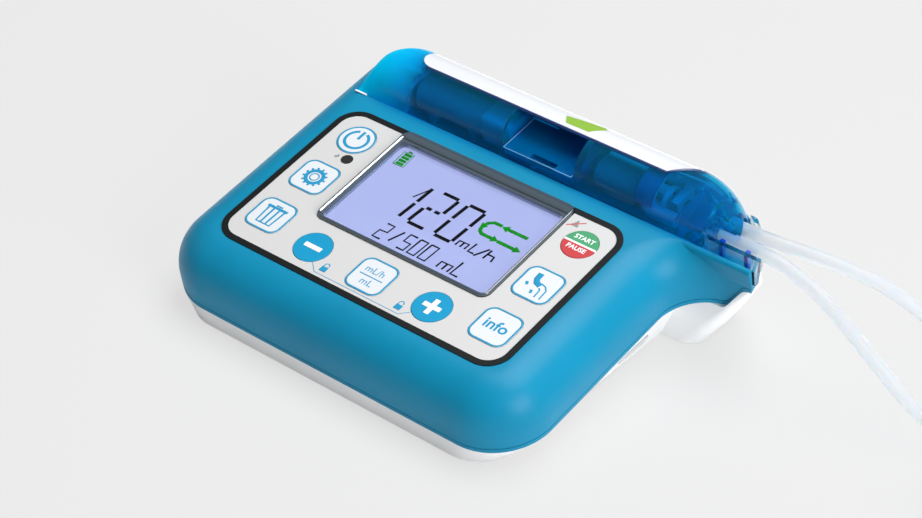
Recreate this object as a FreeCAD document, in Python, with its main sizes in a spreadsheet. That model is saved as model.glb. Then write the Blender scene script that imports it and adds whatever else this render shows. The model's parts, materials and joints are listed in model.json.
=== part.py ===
import FreeCAD
import Part

import math
import os
import re

import Sketcher
from FreeCAD import Vector

# Enteral feeding pump: a sloped keypad housing, a tray behind the keypad that holds a small
# roller pump, a clear cassette with two tubes, and a blue transparent door over the tray.
#
# Two frames are used.  "panel" lies in the sloped keypad face: X to the right, Y up the slope,
# Z out of the face, origin at the middle of the lower key row.  "ground" has the same X, but
# lies level on the surface that the pump stands on.

doc = FreeCAD.newDocument("feeding_pump")
sheet = doc.addObject("Spreadsheet::Sheet", "dims")

SIZES = {
    # housing
    "tilt": 10, "panel_height": 28.9, "half_width": 68, "front_reach": 28.2, "rear_set": 25.6,
    "shell_depth": 19, "plan_radius": 19, "rear_radius": 6, "rear_left": 19,
    "rear_right": 31, "roll_radius": 13.5,
    "wall": 2.2, "floor_wall": 2, "foot_stand": 0.4, "base_inset": 8.2, "base_radius": 13,
    "trim_height": 1.3, "groove": 0.25, "fit_gap": 0.15, "seam_bend": 3.4,
    # flare at the right rear, under the cassette
    "flare_reach": 22.3, "flare_sweep": 16, "flare_rise": 9.7, "flare_rise_set": 13,
    "flare_rise_run": 6.3, "flare_foot_over": 4, "flare_foot_set": 0.8,
    # door and its hinge
    "door_seam": 57.2, "door_gap": 0.3, "door_set": 10.1, "door_edge": 3.2,
    "door_depth": 22.9, "door_rise": 11.7, "door_left_run": 16.4,
    "door_corner": 16, "door_wall": 1.8, "skirt_drop": 1, "skirt_over": 4.6, "gate_set": 4.4,
    "gate_height": 6.3, "ledge_height": 9.3, "arch_radius": 4.2, "arch_set": 9.4,
    "inlay_set": 11, "inlay_set_left": 28, "inlay_set_right": 14, "inlay_thick": 0.5,
    "inlay_round": 4.8, "inlay_corner": 7,
    "hinge_set": 22.8, "hinge_low": 1.8, "hinge_pin_radius": 1, "knuckle_radius": 2.4,
    "knuckle_length": 8, "knuckle_set": 10, "knuckle_mid": 6.6, "knuckle_inset": 20, "bore_gap": 0.05,
    "ledge_drop": 4.8, "web_top": 1,
    # latch in the door
    "latch_left": 0, "latch_set": 3.5, "latch_deep": 16.3, "latch_top": 3.4,
    "latch_thick": 1.6, "latch_gap": 0.3, "latch_pin_radius": 0.6, "latch_axis_set": 4.8,
    "hook_start": 1.5, "hook_width": 7, "hook_set": 2.7, "hook_thick": 1, "hook_low": 5,
    "toe_set": 4.15, "catch_top": 2.5, "catch_gap": 1, "catch_thick": 1.5,
    "slot_set": 10, "slot_end_set": 7, "slot_front": 1.4, "slot_back": 0.5,
    # tray
    "tray_floor": 8, "tray_deep": 21.1,
    # roller pump
    "axis_set": 11.6, "lane_drop": 2.6, "lane_bend": 3, "gear_half": 5.5, "gear_gap": 0.4,
    "gear_corner": 2, "gearbox_length": 10, "shaft_radius": 1, "orbit": 3,
    "roller_radius": 1.6, "roller_pin_radius": 0.6, "roller_set": 20.3, "roller_length": 6.1,
    "disc_radius": 4.4, "disc_thick": 1.5, "squeeze_gap": 0.3, "tube_radius": 2.05,
    "tube_bore": 1.3, "platen_low": 3.6, "motor_radius": 5.6, "motor_length": 26,
    "motor_cap": 4.5, "cap_length": 1, "sleeve_radius": 4.8, "sleeve_set": 17.7,
    "sleeve_length": 14, "sleeve_bore": 1.5, "chassis_thick": 1.5, "chassis_set": 1,
    "chassis_end_set": 4.4, "chassis_back_set": 3.8, "chassis_rise": 4.8, "saddle_wide": 2,
    "bearing_set": 9.8, "bearing_radius": 2.2, "bearing_length": 2.5,
    # cassette
    "cassette_inset": 6, "cassette_block": 12, "cassette_over": 23.2, "cassette_wall": 1.4,
    "cassette_top": 4.1, "cassette_set": 2.8, "cassette_roof": 3.6, "cassette_lean": 0.5,
    "end_floor": 6.3, "bar_set": 4.4, "bar_thick": 1, "socket_radius": 2.7,
    "socket_over": 8.5, "tube_set": 5.3, "tube_pitch": 5.1, "tube_up": 2.6,
    # keypad and display
    "pad_margin": 0.5, "pad_low": 14.2, "pad_set": 6.2, "pad_radius": 8, "pad_border": 2,
    "pad_recess": 1, "key_set_left": 11.7, "key_set_right": 10.9, "key_set_high": 11.72,
    "key_low": 3.55, "minus_set": 19.8, "unit_right": 0.3, "plus_set": 20.3,
    "disc_key": 6, "power_key": 6.14, "start_key": 5.6, "square_key": 13,
    "square_radius": 3.2, "key_proud": 0.3, "key_travel": 0.4,
    "stem_radius": 1.6, "stem_reach": 3.3, "dome_gap": 0.45, "dome_radius": 2.2,
    "screen_set_left": 13.2, "screen_set_right": 10.2, "screen_low": 7.6,
    "screen_set_high": 5.1, "screen_radius": 2, "screen_thick": 1.4, "bezel_side": 2.4,
    "bezel_right": 0.8, "bezel_low": 0.8, "bezel_high": 5, "bezel_proud": 1.2, "bezel_radius": 3.1,
    "light_thick": 2.4, "sensor_set": 3.2, "sensor_drop": 8.28, "sensor_radius": 1.9,
    # boards and battery
    "board_thick": 1.6, "board_margin": 3.2, "spacer_set": 1.5, "main_board_drop": 7,
    "main_board_end": 3, "main_board_low": 2, "chip_long": 12.5, "chip_wide": 6.2,
    "buzzer_radius": 6, "buzzer_tall": 3, "standoff_radius": 2, "standoff_set": 6.7,
    "standoff_end": 1, "battery_long": 60, "battery_wide": 40, "battery_tall": 12.5,
    "battery_left": 38, "battery_front": 2, "battery_radius": 3,
    # fasteners, feet and clamp interface
    "screw_radius": 1.25, "screw_head": 2.6, "screw_reach": 7.5, "post_radius": 3.4,
    "post_inset": 15.5, "post_front": 15, "post_set": 10.2, "foot_radius": 5,
    "foot_inset": 24.5, "foot_front": 12, "foot_set": 10.8, "foot_seat": 1,
    "cover_lap": 4.4, "cover_thick": 1.2, "lug_radius": 2, "lug_set": 2.9,
    "small_screw": 0.75, "small_head": 0.6, "clamp_wide": 30, "clamp_deep": 20,
    "clamp_set": 4.8, "insert_bore": 1.65, "insert_radius": 2.8, "insert_length": 6,
    "port_back": 38.6, "port_up": 7.6, "port_long": 14, "port_tall": 5, "port_skin": 0.3,
    # feeding set outside the pump
    "coil_radius": 22.5, "coil_section": 6.2, "coil_one_reach": 122.5,
    "coil_two_reach": 106.5, "coil_one_entry": 2.4, "coil_two_entry": 15.4,
    "luer_set": 21.4, "luer_radius": 4, "luer_length": 26,
}
# Sizes that follow from those above; each formula uses earlier names only
LAYOUT = {
    "flare_end": "half_width + flare_reach", "rear_reach": "door_seam + rear_set",
    "hinge_back": "door_seam + hinge_set",
    "tray_back": "door_seam + tray_deep", "axis_back": "door_seam + axis_set",
    "gate_front": "door_seam + gate_set", "arch_centre": "door_seam + arch_set",
    "inlay_front": "door_seam + inlay_set", "latch_back": "door_seam + latch_deep",
    "latch_axis": "door_seam + latch_axis_set", "hook_front": "door_seam + hook_set",
    "toe_back": "door_seam + toe_set", "cassette_front": "door_seam + cassette_set",
    "cassette_back": "hinge_back - knuckle_radius - door_gap",
    "tube_one_back": "door_seam + tube_set", "tube_two_back": "tube_one_back + tube_pitch",
    "flare_foot_front": "door_seam + flare_foot_set", "post_back": "door_seam - post_set",
    "foot_back": "door_seam + foot_set", "clamp_back": "door_seam + clamp_set",
    "door_left": "half_width - door_set", "door_right": "flare_end - door_edge",
    "skirt_end": "half_width + skirt_over", "inlay_left": "half_width - inlay_set_left",
    "inlay_right": "half_width - inlay_set_right",
    "flare_rise_start": "half_width + flare_rise_set",
    "flare_rise_end": "flare_rise_start + flare_rise_run",
    "flare_foot": "half_width + flare_foot_over", "post_side": "half_width - post_inset",
    "foot_side": "half_width - foot_inset", "cassette_start": "half_width - cassette_inset",
    "cassette_end": "half_width + cassette_over", "socket_end": "half_width + socket_over",
    "roller_start": "half_width - roller_set", "bearing_wall": "roller_start + bearing_set",
    "sleeve_start": "roller_start - sleeve_set", "latch_right": "sleeve_start - latch_set",
    "slot_left": "latch_left + slot_set", "slot_right": "latch_right - slot_end_set",
    "gear_end": "latch_left - latch_thick - gear_gap",
    "gear_start": "gear_end - gearbox_length", "motor_start": "motor_length - gear_start",
    "knuckle_left": "door_left - knuckle_set",
    "knuckle_right": "cassette_start - knuckle_inset",
    "pad_half": "half_width - roll_radius - pad_margin", "pad_high": "door_seam - pad_set",
    "key_left": "pad_half - key_set_left", "key_right": "pad_half - key_set_right",
    "key_pitch": "(pad_high - key_set_high) / 2", "minus_left": "key_left - minus_set",
    "plus_right": "key_right - plus_set", "screen_left": "key_left - screen_set_left",
    "screen_right": "key_right - screen_set_right",
    "screen_high": "pad_high - screen_set_high", "sensor_left": "key_left - sensor_set",
    "sensor_up": "2 * key_pitch - sensor_drop", "key_sink": "key_travel + fit_gap",
    "coil_one_right": "socket_end + coil_one_reach",
    "coil_two_right": "socket_end + coil_two_reach",
}
for line, (name, value) in enumerate(SIZES.items(), 1):
    sheet.set(f"A{line}", name)
    sheet.set(f"B{line}", str(value))
    sheet.setAlias(f"B{line}", name)
doc.recompute()


def spelled(text):
    """The same formula with every derived size written out in the sheet's own names."""
    while any(name in LAYOUT for name in re.findall(r"[a-z_]+", text)):
        text = re.sub(r"[a-z_]+", lambda m: f"({LAYOUT[m[0]]})" if m[0] in LAYOUT else m[0],
                      text)
    return text


def num(text):
    """The present value of a formula in the named sizes."""
    return float(sheet.evalExpression(spelled(text)))


def ex(text):
    """The same formula as other objects write it."""
    return re.sub(r"[a-z_]+", lambda m: "dims." + m[0] if m[0] in SIZES else m[0],
                  spelled(text))


# Places worked out from the sizes, as expressions
DOOR_BACK = "(door_seam + door_gap + door_depth)"
DOOR_MID = "(door_seam + door_gap + door_depth / 2)"
SCREEN_ZONE = ("-(screen_left + bezel_side)", "screen_right + bezel_right",
               "screen_low - bezel_low", "screen_high + bezel_high")
TUBE_ORBIT = "(orbit + roller_radius + squeeze_gap + tube_radius)"
FRONT_LOW = ("((roll_radius - front_reach) * cos(tilt) + roll_radius * sin(tilt)"
             " - roll_radius)")
REAR_LOW = "(rear_reach * cos(tilt) + shell_depth * sin(tilt))"
PAD_X = "(half_width - cassette_end - cassette_wall) / 2"
PAD_Y = f"0 - ({FRONT_LOW} + {REAR_LOW}) / 2"
FRAMES = {
    "panel": f"placement(vector({PAD_X}; {PAD_Y}; panel_height);"
             " rotation(vector(1; 0; 0); tilt))",
    "ground": f"placement(vector({PAD_X}; {PAD_Y}; 0); rotation(vector(0; 0; 1); 0))",
    "ground_in_panel": "placement(vector(0; -panel_height * sin(tilt);"
                       " -panel_height * cos(tilt)); rotation(vector(1; 0; 0); -tilt))",
}
KEY_LEFT = "-key_left"
ROWS = ("key_pitch * 2", "key_pitch", "0")
KEYS = {
    "power_key": ("disc", KEY_LEFT, ROWS[0], "power_key"),
    "settings_key": ("square", KEY_LEFT, ROWS[1], "square_key"),
    "clear_key": ("square", KEY_LEFT, ROWS[2], "square_key"),
    "minus_key": ("disc", "-minus_left", "-key_low", "disc_key"),
    "unit_key": ("square", "unit_right", "-key_low", "square_key"),
    "plus_key": ("disc", "plus_right", "-key_low", "disc_key"),
    "start_pause_key": ("disc", "key_right", ROWS[0], "start_key"),
    "prime_key": ("square", "key_right", ROWS[1], "square_key"),
    "info_key": ("square", "key_right", ROWS[2], "square_key"),
}
nodes = {}


# ---- helpers: frames, sketches, features, booleans

def place(obj, frame):
    if frame:
        obj.setExpression("Placement", ex(FRAMES[frame]))
    return obj


def node(name, obj):
    """Registers a finished piece under the name of its file."""
    obj.Label = name
    nodes[name] = obj
    return obj


def new_body(name, frame=None):
    return place(doc.addObject("PartDesign::Body", name), frame)


def new_sketch(body, role="XY_Plane", offset="0", tip=None):
    sketch = body.newObject("Sketcher::SketchObject", "profile")
    plane = next(o for o in body.Origin.OriginFeatures if o.Role == role)
    sketch.AttachmentSupport = [(plane, "")]
    sketch.MapMode = "FlatFace"
    if tip:
        sketch.setExpression("AttachmentOffset", ex(tip))
    else:
        sketch.setExpression("AttachmentOffset.Base.z", ex(offset))
    return sketch


def pin(sketch, kind, *where, size):
    """A dimension bound to an expression."""
    index = sketch.addConstraint(Sketcher.Constraint(kind, *where, num(size)))
    sketch.setExpression(f"Constraints[{index}]", ex(size))


def outline(body, points, role="XY_Plane", offset="0", tip=None, closed=True):
    """An outline through (x, y) points; (x, y, radius, turn) starts an arc, turn is "left"
    or "right"."""
    sketch = new_sketch(body, role, offset, tip)
    spots = [Vector(num(p[0]), num(p[1]), 0) for p in points]
    starts, ends = [], []
    edges = points if closed else points[:-1]
    for i, point in enumerate(edges):
        a, b = spots[i], spots[(i + 1) % len(points)]
        starts.append(1)
        ends.append(2)
        if len(point) == 2:
            sketch.addGeometry(Part.LineSegment(a, b))
            continue
        radius, side = num(point[2]), 1 if point[3] == "left" else -1
        chord = b - a
        across = Vector(-chord.y, chord.x, 0).normalize() * side
        centre = (a + b) / 2 + across * math.sqrt(max(radius**2 - (chord.Length / 2) ** 2, 0))
        first, last = (a, b) if side == 1 else (b, a)
        turns = [math.atan2((p - centre).y, (p - centre).x) for p in (first, last)]
        circle = Part.Circle(centre, Vector(0, 0, 1), radius)
        sketch.addGeometry(Part.ArcOfCircle(circle, *turns))
        if side == -1:
            starts[i], ends[i] = 2, 1
    for i, point in enumerate(edges):
        after = (i + 1) % len(edges)
        if closed or after:
            sketch.addConstraint(
                Sketcher.Constraint("Coincident", i, ends[i], after, starts[after]))
        pin(sketch, "DistanceX", -1, 1, i, starts[i], size=point[0])
        pin(sketch, "DistanceY", -1, 1, i, starts[i], size=point[1])
        if len(point) > 2:
            pin(sketch, "Radius", i, size=point[2])
    if not closed:
        last = len(edges) - 1
        pin(sketch, "DistanceX", -1, 1, last, ends[last], size=points[-1][0])
        pin(sketch, "DistanceY", -1, 1, last, ends[last], size=points[-1][1])
    return sketch


def rounded(body, low_x, high_x, low_y, high_y, radius, far_radius=None, **where):
    """A rectangle with rounded corners; far_radius is for the two at high_y."""
    sketch = new_sketch(body, **where)
    x0, x1, y0, y1 = (num(v) for v in (low_x, high_x, low_y, high_y))
    near, far = num(radius), num(far_radius or radius)
    sides = [((x0 + near, y0), (x1 - near, y0)), ((x1, y0 + near), (x1, y1 - far)),
             ((x1 - far, y1), (x0 + far, y1)), ((x0, y1 - far), (x0, y0 + near))]
    corners = [(x1 - near, y0 + near, near, 270), (x1 - far, y1 - far, far, 0),
               (x0 + far, y1 - far, far, 90), (x0 + near, y0 + near, near, 180)]
    for a, b in sides:
        sketch.addGeometry(Part.LineSegment(Vector(*a, 0), Vector(*b, 0)))
    for x, y, r, start in corners:
        circle = Part.Circle(Vector(x, y, 0), Vector(0, 0, 1), r)
        sketch.addGeometry(
            Part.ArcOfCircle(circle, math.radians(start), math.radians(start + 90)))
    for i in range(4):
        sketch.addConstraint(Sketcher.Constraint("Tangent", i, 2, 4 + i, 1))
        sketch.addConstraint(Sketcher.Constraint("Tangent", 4 + i, 2, (i + 1) % 4, 1))
        level = "Horizontal" if i % 2 == 0 else "Vertical"
        sketch.addConstraint(Sketcher.Constraint(level, i))
    sketch.addConstraint(Sketcher.Constraint("Equal", 4, 7))
    sketch.addConstraint(Sketcher.Constraint("Equal", 5, 6))
    pin(sketch, "Radius", 4, size=radius)
    pin(sketch, "Radius", 5, size=far_radius or radius)
    pin(sketch, "DistanceX", -1, 1, 3, 1, size=low_x)
    pin(sketch, "DistanceX", -1, 1, 1, 1, size=high_x)
    pin(sketch, "DistanceY", -1, 1, 0, 1, size=low_y)
    pin(sketch, "DistanceY", -1, 1, 2, 1, size=high_y)
    return sketch


def circles(body, spots, **where):
    """One sketch of circles, each (x, y, radius)."""
    sketch = new_sketch(body, **where)
    for i, (x, y, radius) in enumerate(spots):
        circle = Part.Circle(Vector(num(x), num(y), 0), Vector(0, 0, 1), num(radius))
        sketch.addGeometry(circle)
        pin(sketch, "DistanceX", -1, 1, i, 3, size=x)
        pin(sketch, "DistanceY", -1, 1, i, 3, size=y)
        pin(sketch, "Radius", i, size=radius)
    return sketch


def pad(body, sketch, length, both=False, cutting=False, back=False):
    feature = body.newObject("PartDesign::Pocket" if cutting else "PartDesign::Pad", "step")
    feature.Profile = sketch
    feature.setExpression("Length", ex(length))
    feature.Midplane = both
    feature.Reversed = back
    return feature


def soften(body, size, pick, kind="Fillet"):
    """Fillets or chamfers the edges of the body's last feature that pick() accepts."""
    doc.recompute()
    base = body.Tip
    names = [f"Edge{i}" for i, edge in enumerate(base.Shape.Edges, 1) if pick(edge)]
    feature = body.newObject(f"PartDesign::{kind}", "soft_edge")
    feature.Base = (base, names)
    feature.setExpression("Radius" if kind == "Fillet" else "Size", ex(size))
    return feature


def at_level(level, axis="Z"):
    """Picks edges that lie in one level of an axis."""
    def pick(edge):
        box = edge.BoundBox
        low, high = getattr(box, axis + "Min"), getattr(box, axis + "Max")
        return abs(low - num(level)) < 1e-4 and abs(high - num(level)) < 1e-4
    return pick


def upright(x, y):
    """Picks the vertical edge at one corner."""
    def pick(edge):
        box = edge.BoundBox
        flat = box.XLength < 1e-4 and box.YLength < 1e-4
        return flat and abs(box.XMin - num(x)) < 1e-3 and abs(box.YMin - num(y)) < 1e-3
    return pick


def slab(name, low_x, high_x, low_y, high_y, radius, bottom, top, frame=None):
    """A plate with rounded corners."""
    body = new_body(name, frame)
    pad(body, rounded(body, low_x, high_x, low_y, high_y, radius, offset=bottom),
        f"({top}) - ({bottom})")
    return body


def block(name, low, high, frame=None):
    box = doc.addObject("Part::Box", name)
    for side, a, b in zip(("Length", "Width", "Height"), low, high):
        box.setExpression(side, ex(f"({b}) - ({a})"))
    corner = f"placement(vector({low[0]}; {low[1]}; {low[2]}); rotation(vector(0; 0; 1); 0))"
    if frame:
        corner = f"({FRAMES[frame]}) * {corner}"
    box.setExpression("Placement", ex(corner))
    return box


TURNS = {"x": "rotation(vector(0; 1; 0); 90)", "y": "rotation(vector(1; 0; 0); -90)",
         "z": "rotation(vector(0; 0; 1); 0)"}


def rod(name, start, radius, length, axis="x", frame=None):
    """A cylinder from a start point along an axis."""
    part = doc.addObject("Part::Cylinder", name)
    part.setExpression("Radius", ex(radius))
    part.setExpression("Height", ex(length))
    spot = f"placement(vector({start[0]}; {start[1]}; {start[2]}); {TURNS[axis]})"
    if frame:
        spot = f"({FRAMES[frame]}) * {spot}"
    part.setExpression("Placement", ex(spot))
    return part


def fuse(name, *parts, frame=None):
    joined = doc.addObject("Part::MultiFuse", name)
    joined.Shapes = list(parts)
    return place(joined, frame)


def cut(name, base, *tools, frame=None):
    result = doc.addObject("Part::Cut", name)
    result.Base = base
    result.Tool = tools[0] if len(tools) == 1 else fuse(name + "_tools", *tools)
    return place(result, frame)


def common(name, *parts, frame=None):
    result = doc.addObject("Part::MultiCommon", name)
    result.Shapes = list(parts)
    return place(result, frame)


# ---- housing

def level(height):
    """A sketch plane, seen from the panel frame, that lies level at a height."""
    drop = f"(panel_height - ({height}))"
    return (f"placement(vector(0; -{drop} * sin(tilt); -{drop} * cos(tilt));"
            " rotation(vector(1; 0; 0); -tilt))")


def seam_height(back):
    """Height of the housing seam over the ground at one distance back."""
    return f"(panel_height + ({back}) * tan(tilt) - shell_depth / cos(tilt))"


def housing_block(name, inset, bottom, top):
    """The keypad housing as a block whose front and sides roll over into the top."""
    body = new_body(name)
    side, front, back = (f"half_width - {inset}", f"{inset} - front_reach",
                         f"rear_reach - {inset}")
    corners = [(f"-({side})", front), (side, front), (side, back), (f"-({side})", back)]
    pad(body, outline(body, corners, offset=bottom), f"({top}) - ({bottom})")
    left_front, right_front = upright(*corners[0]), upright(*corners[1])
    soften(body, f"plan_radius - {inset}", lambda e: left_front(e) or right_front(e))
    on_top, at_back = at_level(top), at_level(back, "Y")
    soften(body, f"roll_radius - {inset}", lambda e: on_top(e) and not at_back(e))
    return body


def flare():
    """The right rear corner that sweeps out under the cassette: the plan outline slides
    along the same roll-over curve as the housing side."""
    body = new_body("flare")
    side, start = "half_width - roll_radius", "door_seam - flare_sweep"
    plan = outline(body, [
        (f"{side} - plan_radius", start), (side, start, "flare_sweep", "right"),
        (f"{side} + flare_sweep", "door_seam"), ("flare_end", "door_seam"),
        ("flare_end", "rear_reach"), (f"{side} - plan_radius", "rear_reach")])
    roll = outline(body, [(side, "0", "roll_radius", "right"), ("half_width", "-roll_radius"),
                          ("half_width", "-shell_depth")], role="XZ_Plane", closed=False)
    doc.recompute()
    sweep = body.newObject("PartDesign::AdditivePipe", "sweep")
    sweep.Profile = plan
    sweep.Spine = (roll, ["Edge1", "Edge2"])
    sweep.Mode = "Fixed"
    limit = slab("flare_limit", "0", "flare_end", "0", "rear_reach", "1", "-shell_depth - 1",
                 "1")
    return common("flare_trimmed", body, limit)


def plan_limit(name, grow):
    """The outline from above, pulled in by grow, with its two rounded rear corners."""
    body = new_body(name)
    left, right, back = (f"({grow}) - half_width", f"flare_end - ({grow})",
                         f"rear_reach - ({grow})")
    small, large = f"(rear_left - ({grow}))", f"(rear_right - ({grow}))"
    pad(body, outline(body, [
        (left, "-half_width"), (right, "-half_width"),
        (right, f"{back} - {large}", large, "left"), (f"{right} - {large}", back),
        (f"{left} + {small}", back, small, "left"), (left, f"{back} - {small}")]),
        "half_width * 2", both=True)
    return body


def under_seam(name, lift):
    """Everything below the housing seam, which rises to the flare's end."""
    body = new_body(name)
    far = "half_width * 3"
    base, rise = f"{lift} - shell_depth", f"{lift} - flare_rise"
    pad(body, outline(body, [
        (f"-({far})", f"-({far})"), (far, f"-({far})"), (far, rise), ("flare_rise_end", rise),
        ("flare_rise_start", base), (f"-({far})", base)], role="XZ_Plane"), far, both=True)
    pick = [at_level("flare_rise_start", "X"), at_level("flare_rise_end", "X")]
    soften(body, "seam_bend", lambda e: any(p(e) for p in pick))
    return body


def tub(name, inset, rim, floor):
    """The lower housing as a hull: full width at the seam, narrower on the ground."""
    body = new_body(name)
    side = f"half_width - ({inset})"
    top = rounded(body, f"-({side})", side, f"{inset} - front_reach",
                  f"rear_reach - ({inset})", f"plan_radius - ({inset})",
                  f"rear_radius - ({inset})", offset=rim)
    foot = f"half_width - base_inset - ({inset})"
    front = f"shell_depth * sin(tilt) - front_reach * cos(tilt) + ({inset})"
    low = rounded(body, f"-({foot})", foot, front, f"{REAR_LOW} - rear_radius / 2 - ({inset})",
                  f"base_radius - ({inset})", f"rear_radius - ({inset})", tip=level(floor))
    doc.recompute()
    hull = body.newObject("PartDesign::AdditiveLoft", "hull")
    hull.Profile = top
    hull.Sections = [low]
    return body


def bulge():
    """The lower housing under the flare, which draws in towards the ground."""
    body = new_body("bulge")
    top = rounded(body, "half_width - base_inset * 2", "flare_end", "door_seam", "rear_reach",
                  "1", "1", offset="-flare_rise + 1")
    low = rounded(body, "half_width - base_inset * 3", "flare_foot", "flare_foot_front",
                  f"{REAR_LOW} - rear_radius / 2", "rear_radius", "rear_radius",
                  tip=level("foot_stand"))
    doc.recompute()
    hull = body.newObject("PartDesign::AdditiveLoft", "hull")
    hull.Profile = top
    hull.Sections = [low]
    return body


POSTS = [(f"{side}post_side", place_y) for side in ("-", "")
         for place_y in ("-post_front", "post_back")]
FEET = [(f"{side}foot_side", place_y) for side in ("-", "")
        for place_y in ("-foot_front", "foot_back")]
STANDOFFS = [(f"{side}(screen_right + standoff_set)", place_y) for side in ("-", "")
             for place_y in ("-(pad_low - post_radius)", "pad_high + standoff_end")]
CLAMP = [(f"{side} clamp_wide / 2", f"clamp_back {way} clamp_deep / 2")
         for side in ("-", "0 +") for way in ("-", "+")]


def pillars(name, spots, radius, low, high, frame=None):
    """Upright round pillars, one at each (x, y)."""
    rods = [rod(f"{name}_{i}", (x, y, low), radius, f"({high}) - ({low})", "z")
            for i, (x, y) in enumerate(spots)]
    return fuse(name, *rods, frame=frame)


outer_block = housing_block("outer_block", "0", "-shell_depth", "0")
outer_flare = flare()
outer = common("outer_housing", fuse("outer_square", outer_block, outer_flare),
               plan_limit("outer_plan", "0"))
inner_plan = plan_limit("inner_plan", "wall")
cavity_block = housing_block("cavity_block", "wall", "-shell_depth - wall", "-wall")
tray_room = block("tray_room", ("-(door_left + door_gap + wall)", "door_seam - wall",
                                "-(tray_floor + wall)"),
                  ("half_width * 2", "rear_reach * 2", "wall"))
cavity = cut("cavity", common("cavity_rounded", cavity_block, inner_plan), tray_room)
below_seam = under_seam("below_seam", "0")
below_shell = under_seam("below_shell", "trim_height + groove")
below_trim = under_seam("below_trim", "trim_height")


def display_zone(name, grow, bottom, top):
    left, right, low, high = SCREEN_ZONE
    return slab(name, f"{left} - {grow}", f"{right} + {grow}", f"{low} - {grow}",
                f"{high} + {grow}", "bezel_radius", bottom, top)


def knuckle_starts(offset):
    """X starts of the three shell knuckles, or with an offset the door's."""
    return [f"{start} + ({offset})" for start in
            ("-knuckle_left", "knuckle_mid", "knuckle_right")]


PIN_START = "-knuckle_left"
PIN_LENGTH = "(knuckle_right + 2 * knuckle_length + door_gap + knuckle_left)"


def hinge_rod(name, radius, over, frame=None):
    """A cylinder on the hinge's axis, longer than the pin by over at each end."""
    return rod(name, (f"{PIN_START} - ({over})", "hinge_back", "-hinge_low"), radius,
               f"{PIN_LENGTH} + 2 * ({over})", "x", frame)


def build_front_shell():
    recess = slab("pad_recess", "-pad_half", "pad_half", "-pad_low", "pad_high",
                  "pad_radius", "-pad_recess", "wall")
    bezel_recess = display_zone("bezel_recess", "fit_gap / 2", "-pad_recess", "wall")
    window = slab("screen_opening", "-screen_left", "screen_right", "screen_low",
                  "screen_high", "screen_radius", "-wall * 2", "wall")
    stems = pillars("stem_holes", [key[1:3] for key in KEYS.values()],
                    "stem_radius + fit_gap * 2", "-wall * 2", "wall")
    sensor = rod("sensor_hole", ("-sensor_left", "sensor_up", "-wall * 2"), "sensor_radius / 2",
                 "wall * 3", "z")
    tray = block("tray_cut", ("-(door_left + door_gap)", "door_seam", "-tray_floor"),
                 ("cassette_start + cassette_block", "tray_back", "roll_radius"))
    tray_end = block("tray_end_cut", ("cassette_start", "door_seam", "-end_floor"),
                     ("half_width * 2", "tray_back", "roll_radius"))
    ledge = block("rear_ledge", ("-(door_left + door_gap)", "tray_back - 1", "-ledge_drop"),
                  ("half_width * 2", "rear_reach * 2", "roll_radius"))
    hollow = cut("hollow_shell", outer, cavity, recess, bezel_recess, window, stems, sensor,
                 tray, tray_end, ledge, below_shell)
    posts = pillars("shell_posts", POSTS, "post_radius", "0", "panel_height * 2",
                    frame="ground_in_panel")
    posts_in = cut("shell_posts_in", common("posts_common", posts, outer_block), below_shell,
                   recess)
    standoffs = pillars("standoffs", STANDOFFS, "standoff_radius", "-main_board_drop",
                        "-wall + fit_gap")
    knuckles = []
    for i, start in enumerate(knuckle_starts("0")):
        barrel = rod(f"shell_knuckle_{i}", (start, "hinge_back", "-hinge_low"),
                     "knuckle_radius", "knuckle_length")
        web = block(f"knuckle_web_{i}", (start, "hinge_back", "-ledge_drop - fit_gap"),
                    (f"{start} + knuckle_length", "rear_reach - fit_gap", "-hinge_low"))
        knuckles += [barrel, web]
    solid = fuse("shell_solid", hollow, posts_in, standoffs, *knuckles)
    bores = hinge_rod("hinge_bore", "hinge_pin_radius + bore_gap", "fit_gap")
    pilots = fuse("pilot_holes", *[
        rod(f"pilot_{i}", (x, y, "0"), "screw_radius + bore_gap",
            f"{seam_height(y)} + screw_reach + fit_gap * 2", "z")
        for i, (x, y) in enumerate(POSTS)], frame="ground_in_panel")
    node("front_shell", cut("front_shell", solid, bores, pilots, frame="panel"))


def build_seam_trim():
    inside = common("trim_inside", slab(
        "trim_room", "-(half_width - wall)", "half_width - wall", "wall - front_reach",
        "rear_reach - wall", "plan_radius - wall", "-shell_depth * 2", "0"), inner_plan)
    node("seam_trim", cut("seam_trim", common("trim_band", outer, below_trim), below_seam,
                          inside, frame="panel"))


def battery_bay(name, grow, bottom, top, frame):
    """A plate or opening round the battery's outline, larger by grow."""
    return block(name, (f"-(battery_left + {grow})", f"battery_front - ({grow})", bottom),
                 (f"battery_long - battery_left + {grow}",
                  f"battery_front + battery_wide + {grow}", top), frame=frame)


COVER_SCREWS = [(x, "battery_front + battery_wide / 2") for x in
                ("-(battery_left + lug_set)", "battery_long - battery_left + lug_set")]


def port_slot(name, grow):
    """The service port on the right-hand side, a slot with round ends."""
    body = new_body(name)
    pad(body, rounded(body, f"port_back - port_long / 2 - {grow}",
                      f"port_back + port_long / 2 + {grow}",
                      f"port_up - port_tall / 2 - {grow}",
                      f"port_up + port_tall / 2 + {grow}", f"port_tall / 2 - bore_gap + {grow}",
                      role="YZ_Plane", offset="half_width - base_inset - post_radius"),
        "base_inset * 2")
    return place(body, "ground_in_panel")


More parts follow.
